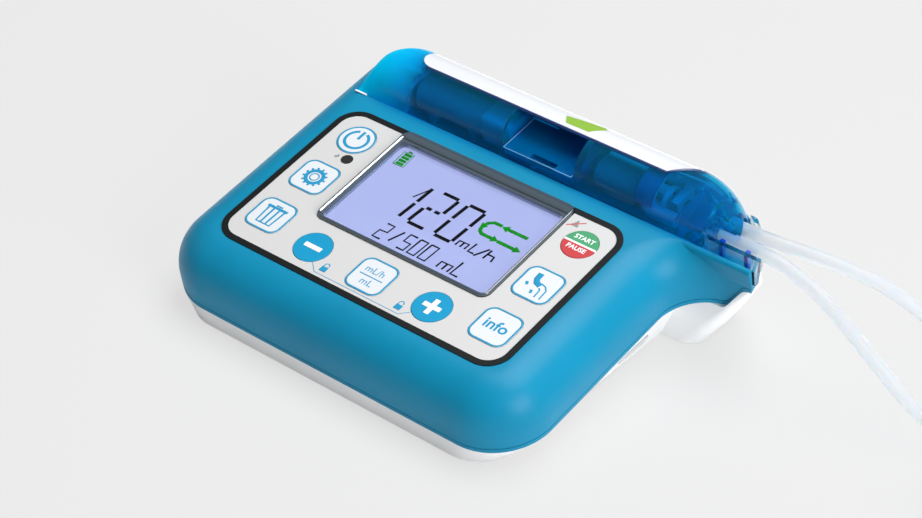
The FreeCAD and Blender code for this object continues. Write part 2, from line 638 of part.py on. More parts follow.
def build_base_shell():
    hull = tub("base_hull", "0", "-shell_depth", "foot_stand")
    room = common("base_room", tub("base_room_square", "wall", "-shell_depth + 1",
                                   "foot_stand + floor_wall"), inner_plan)
    lower = common("lower_hull", fuse("hull_and_bulge", hull, bulge()), below_seam,
                   plan_limit("base_plan", "0"))
    posts = common("base_posts_in", pillars(
        "base_posts", POSTS, "post_radius", "foot_stand", "panel_height",
        frame="ground_in_panel"), below_seam)
    bosses = pillars("clamp_bosses", CLAMP, "insert_radius + floor_wall", "foot_stand",
                     "foot_stand + insert_length + floor_wall", frame="ground_in_panel")
    solid = fuse("base_solid", cut("hollow_base", lower, room), posts, bosses)
    shafts = pillars("screw_clearance", POSTS, "screw_radius + fit_gap", "0",
                     "panel_height", frame="ground_in_panel")
    heads = pillars("head_recess", POSTS, "screw_head + fit_gap", "0",
                    "foot_stand + floor_wall + fit_gap", frame="ground_in_panel")
    feet = pillars("foot_recess", FEET, "foot_radius + bore_gap", "0",
                   "foot_stand + foot_seat", frame="ground_in_panel")
    inserts = pillars("insert_sockets", CLAMP, "insert_radius", "0",
                      "foot_stand + insert_length", frame="ground_in_panel")
    bay = battery_bay("battery_opening", "wall / 2", "0", "foot_stand + floor_wall * 2",
                      "ground_in_panel")
    rebate = battery_bay("cover_rebate", "cover_lap + fit_gap", "0",
                         "foot_stand + cover_thick", "ground_in_panel")
    lugs = cut("cover_lugs", pillars("cover_lug", COVER_SCREWS, "lug_radius", "floor_wall",
                                     "foot_stand + floor_wall * 2"),
               pillars("cover_pilot", COVER_SCREWS, "small_screw + bore_gap", "0",
                       "floor_wall * 3"), frame="ground_in_panel")
    base = cut("base_tub", solid, shafts, heads, feet, inserts, bay, rebate,
               pillars("cover_bores", COVER_SCREWS, "small_screw + bore_gap", "0",
                       "floor_wall * 3", frame="ground_in_panel"),
               port_slot("port_opening", "fit_gap"))
    base = fuse("base_shell", base, lugs, frame="panel")
    node("base_shell", base)
    skin = tub("port_skin", "-port_skin", "-shell_depth", "foot_stand")
    node("port_cover", common("port_cover", port_slot("port_plug", "0"), skin,
                              frame="panel"))


def build_feet_and_fasteners():
    node("rubber_feet", pillars("rubber_feet", FEET, "foot_radius", "0",
                                "foot_stand + foot_seat", frame="ground"))
    screws = []
    for i, (x, y) in enumerate(POSTS):
        head = rod(f"screw_head_{i}", (x, y, "foot_stand + fit_gap"), "screw_head",
                   "floor_wall", "z")
        top = f"({seam_height(y)} + screw_reach)"
        shank = rod(f"screw_shank_{i}", (x, y, "foot_stand + fit_gap"), "screw_radius",
                    f"{top} - foot_stand", "z")
        screws += [head, shank]
    node("housing_screws", fuse("housing_screws", *screws, frame="ground"))
    sleeves = pillars("insert_sleeves", CLAMP, "insert_radius", "foot_stand",
                      "foot_stand + insert_length")
    bores = pillars("insert_bores", CLAMP, "insert_bore", "0", "panel_height")
    node("clamp_inserts", cut("clamp_inserts", sleeves, bores, frame="ground"))


# ---- keypad and display

def key_body(name, grow, bottom, top, frame=None):
    """One key's outline as a solid: a disc or a rounded square."""
    kind, x, y, size = KEYS[name]
    body = new_body(f"{name}_body", frame)
    if kind == "disc":
        pad(body, circles(body, [(x, y, f"{size} + {grow}")], offset=bottom),
            f"({top}) - ({bottom})")
    else:
        half = f"({size} / 2 + {grow})"
        pad(body, rounded(body, f"{x} - {half}", f"{x} + {half}", f"{y} - {half}",
                          f"{y} + {half}", f"square_radius + {grow}", offset=bottom),
            f"({top}) - ({bottom})")
    return body


def build_keys():
    for name, (kind, x, y, size) in KEYS.items():
        body = key_body(name, "0", "-key_sink", "key_proud", frame="panel")
        soften(body, "key_proud / 2", at_level("key_proud"))
        pad(body, circles(body, [(x, y, "stem_radius")], offset="-key_sink"),
            "stem_reach - key_sink", back=True)
        node(name, body)


def overlay_area(name, top):
    """The printed face's outline: inside the dark border, and notched round the display."""
    inner = "pad_half - pad_border"
    face = slab(f"{name}_face", f"-({inner})", inner, "pad_border - pad_low",
                "pad_high - pad_border", "pad_radius - pad_border", "-pad_recess", top)
    zone = display_zone(f"{name}_window", "fit_gap", "-wall", "wall")
    above = block(f"{name}_above", ("-(screen_left + bezel_side + fit_gap)",
                                    "screen_high", "-wall"),
                  ("screen_right + bezel_right + fit_gap", "pad_high * 2", "wall"))
    return cut(name, face, zone, above)


def build_keypad():
    holes = [key_body(name, "fit_gap", "-wall", "wall") for name in KEYS]
    sensor = rod("sensor_gap", ("-sensor_left", "sensor_up", "-wall"),
                 "sensor_radius + bore_gap", "wall * 2", "z")
    node("keypad_overlay", cut("keypad_overlay", overlay_area("overlay_shape", "fit_gap"),
                               sensor, *holes, frame="panel"))
    rim = slab("gasket_rim", "-pad_half", "pad_half", "-pad_low", "pad_high", "pad_radius",
               "-pad_recess", "fit_gap * 2")
    node("keypad_gasket", cut("keypad_gasket", rim, overlay_area("gasket_inside", "wall"),
                              display_zone("gasket_window", "fit_gap", "-wall", "wall"),
                              key_body("prime_key", "fit_gap", "-wall", "wall"),
                              frame="panel"))
    node("light_sensor", rod("light_sensor", ("-sensor_left", "sensor_up", "-pad_recess"),
                             "sensor_radius", "pad_recess + fit_gap * 2", "z", "panel"))


def build_display():
    frame = display_zone("bezel_plate", "0", "-pad_recess", "bezel_proud")
    soften(frame, "bezel_proud / 2", at_level("bezel_proud"))
    window = slab("bezel_opening", "-screen_left", "screen_right", "screen_low",
                  "screen_high", "screen_radius", "-wall", "wall")
    node("display_bezel", cut("display_bezel", frame, window, frame="panel"))
    sides = ("-(screen_left - bore_gap)", "screen_right - bore_gap", "screen_low + bore_gap",
             "screen_high - bore_gap", "screen_radius")
    node("display_window", slab("display_window", *sides, "-pad_recess", "fit_gap",
                                frame="panel"))
    glass_back = "-(pad_recess + screen_thick)"
    node("lcd_module", slab("lcd_module", *sides, glass_back, "-pad_recess", frame="panel"))
    left, right, low, high = SCREEN_ZONE
    node("backlight", slab("backlight", left, right, low, high, "screen_radius",
                           f"{glass_back} - light_thick", glass_back, frame="panel"))


def build_boards():
    half = "key_right + board_margin"
    plate = slab("keypad_plate", f"-({half})", half, "-(key_low + board_margin)",
                 "pad_high - bezel_high", "screen_radius",
                 "-(stem_reach + dome_gap + fit_gap * 2) - board_thick",
                 "-(stem_reach + dome_gap + fit_gap * 2)")
    opening = display_zone("board_opening", "wall / 2", "-panel_height", "0")
    domes = pillars("key_domes", [key[1:3] for key in KEYS.values()], "dome_radius",
                    "-(stem_reach + dome_gap + board_thick)", "-(stem_reach + dome_gap)")
    pegs = [(f"{side}({half} - spacer_set)", y) for side in ("-", "")
            for y in ("key_pitch / 2", "key_pitch * 1.5")]
    spacers = pillars("board_spacers", pegs, "screw_radius",
                      "-(stem_reach + dome_gap + fit_gap * 2) - fit_gap", "-wall")
    node("keypad_board", fuse("keypad_board", cut("keypad_plate_cut", plate, opening), domes,
                              spacers, frame="panel"))
    low = "-(main_board_drop + board_thick)"
    board = slab("main_plate", "-(key_right + stem_radius)", "key_right + stem_radius",
                 "main_board_low - pad_low", "pad_high + main_board_end",
                 "screen_radius", low, "-main_board_drop")
    chips = []
    for i, (x, y, long, wide) in enumerate((
            ("-key_left / 2", "key_pitch", "chip_long", "chip_long"),
            ("key_right / 3", "key_pitch * 2", "chip_long + board_thick", "chip_wide"))):
        chips.append(block(f"chip_{i}", (x, y, f"{low} - board_thick"),
                           (f"{x} + {long}", f"{y} + {wide}", low)))
    node("main_board", fuse("main_board", board, *chips, frame="panel"))
    node("buzzer", rod("buzzer", ("screen_right - buzzer_radius", "key_pitch",
                                  f"{low} - buzzer_tall"),
                       "buzzer_radius", "buzzer_tall", "z", "panel"))


def build_battery():
    top = "foot_stand + floor_wall"
    plate = battery_bay("cover_plate", "cover_lap", "foot_stand",
                        "foot_stand + cover_thick", None)
    heads = pillars("cover_head_recess", COVER_SCREWS, "screw_radius + fit_gap", "0",
                    "foot_stand + small_head")
    bores = pillars("cover_holes", COVER_SCREWS, "small_screw + fit_gap", "0",
                    "floor_wall * 2")
    node("battery_cover", cut("battery_cover", plate, heads, bores, frame="ground"))
    node("battery_cover_screws", fuse(
        "battery_cover_screws",
        pillars("cover_screw_heads", COVER_SCREWS, "screw_radius", "foot_stand + bore_gap",
                "foot_stand + small_head"),
        pillars("cover_screw_shanks", COVER_SCREWS, "small_screw", "foot_stand + "
                "bore_gap", "foot_stand + cover_thick + floor_wall"), frame="ground"))
    pack = slab("battery_pack", "-battery_left", "battery_long - battery_left",
                "battery_front", "battery_front + battery_wide", "battery_radius",
                f"{top} + bore_gap", f"{top} + battery_tall", frame="ground")
    node("battery_pack", pack)


# ---- roller pump in the tray

AXIS = ("axis_back", "0")


def across(name, start, end, radius, frame=None, at=AXIS):
    """A round piece along X at one place of the side view, the shaft's unless told."""
    return rod(name, (start, at[0], at[1]), radius, f"({end}) - ({start})", "x", frame)


def side_prism(name, points, low, high, frame=None):
    """An outline in the front view (X and Z), made solid from low to high along Y."""
    body = new_body(name, frame)
    pad(body, outline(body, points, role="XZ_Plane", offset=f"-({high})"),
        f"({high}) - ({low})")
    return body


SLEEVE_END = "(sleeve_start + sleeve_length)"
PLATE_TOP = "(chassis_thick - tray_floor)"
WALL_END = "(bearing_wall + bearing_length)"
TRAY_LEFT = "-(motor_start + chassis_end_set)"
HOOK_LEFT = "(latch_left + hook_start)"


def build_chassis():
    plate = block("chassis_plate", (TRAY_LEFT, "door_seam + chassis_set", "-tray_floor"),
                  (WALL_END, "cassette_back", PLATE_TOP))
    end_wall = block("chassis_end", (TRAY_LEFT, "cassette_front", PLATE_TOP),
                     (f"{TRAY_LEFT} + chassis_thick", "cassette_back", "tube_up"))
    back = block("chassis_back", (TRAY_LEFT, "tray_back - chassis_back_set", PLATE_TOP),
                 ("gear_end - shaft_radius",
                  "tray_back - chassis_back_set + chassis_thick", "chassis_rise"))
    windows = [block(f"chassis_window_{i}", (x, "axis_back", "-hinge_low"),
                     (f"{x} + disc_radius", "tray_back", "knuckle_radius"))
               for i, x in enumerate(("-motor_start + cap_length", "gear_start - disc_radius"))]
    saddles = [block(f"saddle_{i}", (x, "axis_back - motor_radius", PLATE_TOP),
                     (f"{x} + saddle_wide", "axis_back + motor_radius", "-hinge_low"))
               for i, x in enumerate(("-(motor_start - disc_radius)",
                                      "gear_start - motor_radius"))]
    pedestal = block("sleeve_pedestal", ("sleeve_start + saddle_wide",
                                         "axis_back - orbit", PLATE_TOP),
                     (f"{SLEEVE_END} - saddle_wide", "axis_back + orbit", "0"))
    gear_pad = block("gear_pad", ("gear_start + saddle_wide", "axis_back - orbit",
                                  PLATE_TOP),
                     ("gear_end - saddle_wide", "axis_back + orbit", "-gear_half"))
    wall = block("bearing_upright", ("bearing_wall", "axis_back - disc_radius", PLATE_TOP),
                 (WALL_END, "axis_back + disc_radius", "disc_radius"))
    catch = block("latch_catch", (HOOK_LEFT, "toe_back + fit_gap", PLATE_TOP),
                  (f"{HOOK_LEFT} + hook_width", "toe_back + catch_thick", "-catch_top"))
    solid = fuse("chassis_solid", plate, end_wall, back, *saddles, pedestal, gear_pad, wall,
                 catch)
    node("pump_chassis", cut(
        "pump_chassis", solid, across("motor_room", "-motor_start", "gear_start",
                                      "motor_radius"),
        across("sleeve_room", "sleeve_start", SLEEVE_END, "sleeve_radius"),
        across("bearing_room", "bearing_wall - 1", f"{WALL_END} + 1", "bearing_radius"),
        *windows, frame="panel"))


def build_drive():
    can = across("motor_can", "-motor_start", "gear_start", "motor_radius")
    cap = across("motor_cap", "-(motor_start + cap_length)", "-motor_start", "motor_cap")
    tabs = [block(f"motor_tab_{i}", ("-(motor_start + cap_length * 2)",
                                     f"axis_back + {side}orbit", "-fit_gap"),
                  ("-motor_start", f"axis_back + {side}orbit + shaft_radius", "fit_gap"))
            for i, side in enumerate(("-", "0 + "))]
    node("motor", fuse("motor", can, cap, *tabs, frame="panel"))
    box = new_body("gearbox_body")
    pad(box, rounded(box, "axis_back - gear_half", "axis_back + gear_half", "-gear_half",
                     "gear_half", "gear_corner", role="YZ_Plane", offset="gear_start"),
        "gearbox_length")
    node("gearbox", cut("gearbox", box, across(
        "gearbox_bore", "gear_end - sleeve_radius", "gear_end + 1",
        "shaft_radius + bore_gap"), frame="panel"))
    bearing_at = f"{SLEEVE_END} - bearing_length"
    node("shaft_sleeve", cut(
        "shaft_sleeve", across("sleeve_outside", "sleeve_start", SLEEVE_END,
                               "sleeve_radius"),
        across("sleeve_bore", "sleeve_start - 1", SLEEVE_END, "sleeve_bore"),
        across("sleeve_seat", bearing_at, f"{SLEEVE_END} + 1", "bearing_radius"),
        frame="panel"))
    for name, start, end in (("bearing_left", bearing_at, SLEEVE_END),
                             ("bearing_right", "bearing_wall", WALL_END)):
        ring = across(f"{name}_ring", start, end, "bearing_radius")
        bore = across(f"{name}_bore", f"{start} - 1", f"{end} + 1",
                      "shaft_radius + bore_gap")
        node(name, cut(name, ring, bore, frame="panel"))
    node("drive_shaft", across("drive_shaft", "gear_end - disc_radius",
                               f"{WALL_END} - fit_gap", "shaft_radius", "panel"))


DISC_LEFT = "(roller_start - fit_gap - disc_thick)"
DISC_RIGHT = "(roller_start + roller_length + fit_gap)"
SPOTS = [(f"(axis_back + orbit * cos({turn}))", f"(orbit * sin({turn}))")
         for turn in (90, 210, 330)]


def build_rotor():
    discs = [across(f"disc_{i}", start, f"{start} + disc_thick", "disc_radius")
             for i, start in enumerate((DISC_LEFT, DISC_RIGHT))]
    holes = [across(f"disc_bore_{i}", f"{DISC_LEFT} - 1", f"{DISC_RIGHT} + disc_thick + 1",
                    radius, at=at)
             for i, (at, radius) in enumerate([(AXIS, "shaft_radius")] +
                                              [(at, "roller_pin_radius") for at in SPOTS])]
    hub = across("rotor_hub", f"{DISC_LEFT} + disc_thick", DISC_RIGHT,
                 "shaft_radius + fit_gap")
    node("rotor", cut("rotor", fuse("rotor_solid", *discs, hub), *holes, frame="panel"))
    node("roller_pins", fuse("roller_pins", *[
        across(f"roller_pin_{i}", DISC_LEFT, f"{DISC_RIGHT} + disc_thick",
               "roller_pin_radius", at=at) for i, at in enumerate(SPOTS)], frame="panel"))
    for i, at in enumerate(SPOTS, 1):
        end = "roller_start + roller_length"
        barrel = across(f"roller_barrel_{i}", "roller_start", end, "roller_radius", at=at)
        bore = across(f"roller_bore_{i}", "roller_start - 1", f"{end} + 1",
                      "roller_pin_radius + bore_gap", at=at)
        node(f"roller_{i}", cut(f"roller_{i}", barrel, bore, frame="panel"))


def path_wire(points, radii):
    """Straight runs through the points, joined by tangent arcs of the given radii."""
    edges = []
    last = points[0]
    for before, corner, after, radius in zip(points, points[1:], points[2:], radii):
        into = (corner - before).normalize()
        out = (after - corner).normalize()
        turn = into.getAngle(out)
        back = radius * math.tan(turn / 2)
        start, end = corner - into * back, corner + out * back
        inward = (out - into).normalize()
        middle = corner + inward * (radius / math.cos(turn / 2) - radius)
        if (start - last).Length > 1e-6:
            edges.append(Part.LineSegment(last, start).toShape())
        edges.append(Part.Arc(start, middle, end).toShape())
        last = end
    edges.append(Part.LineSegment(last, points[-1]).toShape())
    return Part.Wire(edges)


def swept(wire, radius):
    first = wire.Edges[0]
    start = first.valueAt(first.FirstParameter)
    along = first.tangentAt(first.FirstParameter)
    ring = Part.Wire(Part.Circle(start, along, radius).toShape())
    return wire.makePipeShell([ring], True, False)


def feature(name, shape, frame=None):
    part = doc.addObject("Part::Feature", name)
    part.Shape = shape
    return place(part, frame)


def lane():
    """Side view place (Y, Z) of the pump tube beside the rotor, for half of the loop."""
    reach = num(TUBE_ORBIT)
    low = Vector(0, -reach * math.cos(math.radians(30)), reach / 2)
    run = Vector(0, -0.5, -math.cos(math.radians(30))) * num("lane_drop")
    return low, low + run


def build_pump_tube():
    """The soft tube runs in beside the rotor, arches over the rollers and runs back out."""
    middle = Vector(num("roller_start + roller_length / 2"), num("axis_back"), 0)
    arch_end, corner = lane()
    start = Vector(num("cassette_start") - middle.x, corner.y, corner.z)
    bend = num("lane_bend")
    half = path_wire([middle + start, middle + corner, middle + arch_end], [bend])
    mirror = [Vector(p.x, 2 * middle.y - p.y, p.z)
              for p in (middle + arch_end, middle + corner, middle + start)]
    other = path_wire(mirror, [bend])
    top = middle + Vector(0, 0, num(TUBE_ORBIT))
    arch = Part.Arc(middle + arch_end, top, mirror[0]).toShape()
    wire = Part.Wire(half.Edges + [arch] + other.Edges)
    outside = feature("pump_tube_outside", swept(wire, num("tube_radius")))
    bore = feature("pump_tube_bore", swept(wire, num("tube_bore")))
    node("pump_tube", cut("pump_tube", outside, bore, frame="panel"))


# ---- cassette

def tube_place(back):
    return (back, "tube_up")


def build_cassette():
    end = "cassette_start + cassette_block"
    middle = common("cassette_middle", block(
        "cassette_block", ("cassette_start", "cassette_front", "-tray_floor"),
        (end, "cassette_back", "cassette_roof")), plan_limit(
            "cassette_under_door", "door_edge + door_wall + cassette_wall"))
    floor = block("cassette_floor", (end, "door_seam + door_gap", "-end_floor"),
                  ("cassette_end", "cassette_back", "cassette_wall - end_floor"))
    front = side_prism("cassette_front_wall", [
        (f"{end} - cassette_lean * 2", "-end_floor"), ("cassette_end", "-end_floor"),
        ("cassette_end + cassette_wall", "cassette_top"),
        (f"{end} + cassette_lean", "cassette_top")],
        "door_seam + door_gap", "door_seam + door_gap + cassette_wall")
    over = "(flare_end - cassette_end)"
    rim = cut("cassette_rim", plan_limit("cassette_rim_outside", over),
              plan_limit("cassette_rim_inside", f"{over} + cassette_wall"))
    end_wall = common("cassette_end_wall", rim, block(
        "cassette_end_zone", (end, "door_seam + door_gap", "-end_floor"),
        ("half_width * 2", "cassette_back", "-hinge_low")))
    sockets = [across(f"tube_socket_{i}", f"{end} - 1", "socket_end", "socket_radius",
                      at=tube_place(back))
               for i, back in enumerate(("tube_one_back", "tube_two_back"))]
    tray = common("cassette_tray", fuse("cassette_square", middle, floor), plan_limit(
        "cassette_plan", over))
    node("cassette_body", fuse("cassette_body", tray, front, end_wall, *sockets,
                               frame="panel"))
    inner = "door_seam + door_gap + cassette_wall"
    bars = [block(f"cassette_bar_{i}", (x, inner, "cassette_wall - end_floor"),
                  (f"{x} + cassette_wall", f"{inner} + bar_thick", "cassette_top"))
            for i, x in enumerate((f"{end} + bar_set",
                                   "cassette_end - cassette_wall * 3"))]
    node("cassette_bars", fuse("cassette_bars", *bars, frame="panel"))


# ---- door, its hinge pin and latch

STEPS = ("0.03", "0.12", "0.3", "0.55", "0.8", "1")


def door_corner(name, edge, corner, side, inset, drop, rise, half):
    """What a rounded rear corner of the door leaves: the roof's profile turned about the
    corner's centre, and all that lies inward or forward of that centre."""
    radius, bend = f"({corner} - {inset})", f"({half} ^ 2 + {rise} ^ 2) / (2 * {rise})"
    middle, back = f"({edge} - {side} * {corner})", f"(door_seam + door_gap + door_depth - {corner})"
    turned = new_body(f"{name}_turned")
    profile = outline(turned, [
        ("0", f"-({drop})"), (radius, f"-({drop})"), (radius, "0", bend, "left"),
        (f"{radius} - {half}", rise), ("0", rise)], role="XZ_Plane")
    doc.recompute()
    turn = turned.newObject("PartDesign::Revolution", "turn")
    turn.Profile = profile
    turn.ReferenceAxis = (profile, ["V_Axis"])
    turned.setExpression("Placement", ex(
        f"placement(vector({middle}; {back}; 0); rotation(vector(0; 0; 1); 0))"))
    low, high = (("-half_width * 2", middle) if side == "1" else (middle, "half_width * 2"))
    inward = block(f"{name}_inward", (low, "0", f"-({drop})"), (high, "rear_reach * 2", "half_width"))
    forward = block(f"{name}_forward", ("-half_width * 2", "0", f"-({drop})"),
                    ("half_width * 2", back, "half_width"))
    return fuse(name, turned, inward, forward)


def dome(name, inset, drop):
    """The door's form, outside or a wall's thickness in: an arched roof over the tray that
    curves down at both ends, open below from its edge at -drop."""
    rise, half = f"(door_rise - {inset})", f"(door_depth / 2 - {inset})"

    def section(body, x, height):
        radius = f"({half} ^ 2 + {height} ^ 2) / (2 * {height})"
        return outline(body, [
            (f"{DOOR_MID} - {half}", f"-({drop})"), (f"{DOOR_MID} + {half}", f"-({drop})"),
            (f"{DOOR_MID} + {half}", "0", radius, "left"),
            (DOOR_MID, height, radius, "left"), (f"{DOOR_MID} - {half}", "0")],
            role="YZ_Plane", offset=x)

    left_end = new_body(f"{name}_left")
    sections = [section(left_end, f"{inset} - door_left + (door_left_run - {inset}) * {step}",
                        f"({rise} * sqrt(1 - (1 - {step}) ^ 2))") for step in STEPS]
    doc.recompute()
    loft = left_end.newObject("PartDesign::AdditiveLoft", "end")
    loft.Profile = sections[0]
    loft.Sections = sections[1:]
    straight = new_body(f"{name}_middle")
    pad(straight, section(straight, "door_left_run - door_left", rise),
        "door_left - door_left_run + door_right")
    corners = [door_corner(f"{name}_corner_{side}", edge, corner, side, inset, drop, rise, half)
               for edge, corner, side in (("door_right", "(rear_right - door_edge)", "1"),
                                          ("-door_left", "door_corner", "-1"))]
    return common(name, fuse(f"{name}_roof", left_end, straight), *corners)


def door_knuckle(name, start, radius, grow="0"):
    return rod(name, (f"{start} - ({grow})", "hinge_back", "-hinge_low"), radius,
               f"knuckle_length + 2 * ({grow})")


LATCH_DROP = "(latch_top - latch_thick)"


def build_door():
    outside = dome("door_outside", "0", "skirt_drop")
    inside = dome("door_inside", "door_wall", "skirt_drop * 3")
    skin = dome("door_skin", "inlay_thick", "skirt_drop * 3")
    shell = cut("door_shell", outside, inside)
    pocket_walls = block("pocket_walls", (
        "latch_left - latch_thick", "door_seam + door_gap", LATCH_DROP + " - latch_gap"),
        ("latch_right + latch_thick", "latch_back + latch_thick", "door_rise * 2"))
    cross_wall = block("cross_wall", ("skirt_end + fit_gap", "gate_front",
                                      "cassette_roof + hook_thick"),
                       ("skirt_end + door_wall", "tray_back", "door_rise * 2"))
    ledge = block("grip_ledge", ("skirt_end", "door_seam", "ledge_height - door_wall"),
                  ("door_right", "gate_front + door_wall", "ledge_height"))
    gate = block("gate_wall", ("skirt_end", "gate_front", "gate_height"),
                 ("door_right", "gate_front + door_wall", "ledge_height"))
    inner_walls = common("inner_walls", fuse("inner_walls_raw", pocket_walls, cross_wall,
                                             ledge, gate), outside)
    front_cut = side_prism("front_cut", [
        ("skirt_end", "-ledge_height"), ("door_right * 2", "-ledge_height"),
        ("door_right * 2", "ledge_height - door_wall"),
        ("skirt_end + gate_set", "ledge_height - door_wall"), ("skirt_end", "0")],
        "0", "gate_front")
    under_gate = block("under_gate", ("skirt_end", "0", "-door_rise"),
                       ("door_right * 2", "arch_centre", "gate_height"))
    arch_low = "gate_height - arch_radius"
    arch = rod("arch", ("skirt_end", "arch_centre", arch_low), "arch_radius",
               "door_right")
    arch_leg = block("arch_leg", ("skirt_end", "arch_centre - arch_radius", "-door_rise"),
                     ("door_right * 2", "arch_centre + arch_radius", arch_low))
    pocket = block("pocket_room", ("latch_left", "0", LATCH_DROP + " - latch_gap"),
                   ("latch_right", "latch_back", "door_rise * 2"))
    inlay_area = new_body("inlay_area")
    pad(inlay_area, outline(inlay_area, [
        ("inlay_round - inlay_left", "inlay_front"), ("inlay_right", "inlay_front"),
        ("inlay_right + inlay_corner", "inlay_front + inlay_corner"),
        ("inlay_right + inlay_corner", "rear_reach"), ("-inlay_left", "rear_reach"),
        ("-inlay_left", "inlay_front + inlay_round", "inlay_round", "left")],
        offset="tube_up"), "door_rise")
    inlay_shape = common("inlay_shape", cut("inlay_skin", outside, skin), inlay_area)
    turn_x, turn_y = "(door_right - (rear_right - door_edge))", f"({DOOR_BACK} - (rear_right - door_edge))"
    rings = [cut(f"grip_ring_{i}", *[
        rod(f"grip_{side}_{i}", (turn_x, turn_y, "gate_height"),
            f"rear_right - door_edge - door_wall * {step} - {inner}", "door_rise", "z")
        for side, inner in (("outer", "0"), ("inner", "inlay_thick"))])
        for i, step in enumerate(("4.2", "3.1", "2"))]
    grooves = common("grip_grooves", cut("grip_skin", outside, skin),
                     fuse("grip_rings", *rings),
                     block("grip_zone", ("skirt_end", DOOR_MID, "0"),
                           ("door_right", "rear_reach", "door_rise * 2")))
    clear = [door_knuckle(f"knuckle_clearance_{i}", start, "knuckle_radius + door_gap",
                          "door_gap") for i, start in enumerate(knuckle_starts("0"))]
    trimmed = cut("door_trimmed", fuse("door_walls", shell, inner_walls), front_cut,
                  under_gate, arch, arch_leg, pocket, inlay_shape, grooves, *clear)
    barrels = []
    for i, start in enumerate(knuckle_starts("knuckle_length + door_gap")):
        web = block(f"door_web_{i}", (start, "tray_back + door_gap", "-hinge_low"),
                    (f"{start} + knuckle_length", DOOR_BACK, "web_top"))
        barrels += [door_knuckle(f"door_knuckle_{i}", start, "knuckle_radius"), web]
    joined = fuse("door_joined", trimmed, *barrels)
    bore = hinge_rod("door_bore", "hinge_pin_radius + bore_gap", "fit_gap")
    pin_hole = latch_pin("latch_pin_hole", "0")
    node("door", cut("door", joined, bore, pin_hole, frame="panel"))
    node("door_inlay", common("door_inlay", outside, cut("inlay_again", inlay_area, skin),
                              frame="panel"))
    crescent = block("platen_block", ("roller_start", "door_seam", "platen_low"),
                     ("roller_start + roller_length", "rear_reach", "door_rise"))
    node("platen", cut("platen", common("platen_arch", crescent, inside), across(
        "platen_room", "roller_start - 1", "roller_start + roller_length + 1",
        f"{TUBE_ORBIT} + tube_radius + squeeze_gap"), frame="panel"))
    node("hinge_pin", hinge_rod("hinge_pin", "hinge_pin_radius", "0", "panel"))


def latch_pin(name, grow, frame=None):
    reach = "latch_thick * 0.8"
    return rod(name, (f"latch_left - {reach}", "latch_axis", f"{LATCH_DROP} + latch_thick / 2"),
               f"latch_pin_radius + {grow}", f"latch_right - latch_left + 2 * {reach}", "x",
               frame)


def build_latch():
    """A plate in the door's pocket that rocks on a pin near its front: pressing its rear
    edge swings the hook under it forward, off the catch in the tray."""
    plate = slab("latch_plate", "latch_left + latch_gap", "latch_right - latch_gap",
                 "door_seam + door_gap * 2", "latch_back - latch_gap", "hook_thick",
                 LATCH_DROP, "latch_top")
    hook = block("latch_hook", (HOOK_LEFT, "hook_front", "-hook_low"),
                 (f"{HOOK_LEFT} + hook_width", "hook_front + hook_thick", LATCH_DROP))
    toe = block("latch_toe", (HOOK_LEFT, "hook_front", "-hook_low"),
                (f"{HOOK_LEFT} + hook_width", "toe_back", "-(catch_top + catch_gap)"))
    slot = slab("latch_slot", "slot_left", "slot_right", "door_seam + slot_front",
                "hook_front + slot_back", "slot_back", "0", "latch_top * 2")
    node("latch", cut("latch", fuse("latch_solid", plate, hook, toe), slot,
                      latch_pin("latch_bore", "bore_gap"), frame="panel"))
    node("latch_pin", latch_pin("latch_pin", "0", "panel"))


# ---- feeding set outside the pump

def ground_point(x, back, up):
    """A panel-frame point in the ground frame."""
    tilt = math.radians(num("tilt"))
    v, w = num(back), num(up)
    return Vector(num(x), v * math.cos(tilt) - w * math.sin(tilt),
                  num("panel_height") + v * math.sin(tilt) + w * math.cos(tilt))


# Each route leaves the cassette's socket, hangs down to the surface and runs to its coil.
# Its points are shares of the coil's reach to the right and back, and of the fall
ROUTES = {
    "tube_to_patient": ("tube_one_back", "coil_one", -1, [
        (0.065, 0, 1), (0.171, -0.001, 0.99), (0.29, -0.006, 0.868), (0.412, -0.007, 0.595),
        (0.527, 0.004, 0.284), (0.65, 0.013, 0.075), (0.79, 0.018, 0.006), (0.9, 0.02, 0)]),
    "tube_from_bag": ("tube_two_back", "coil_two", 1, [
        (0.065, 0, 1), (0.17, 0.006, 1.0), (0.305, 0.042, 0.971), (0.455, 0.098, 0.837),
        (0.59, 0.143, 0.58), (0.72, 0.158, 0.286), (0.83, 0.153, 0.07), (0.91, 0.147, 0.004)]),
}


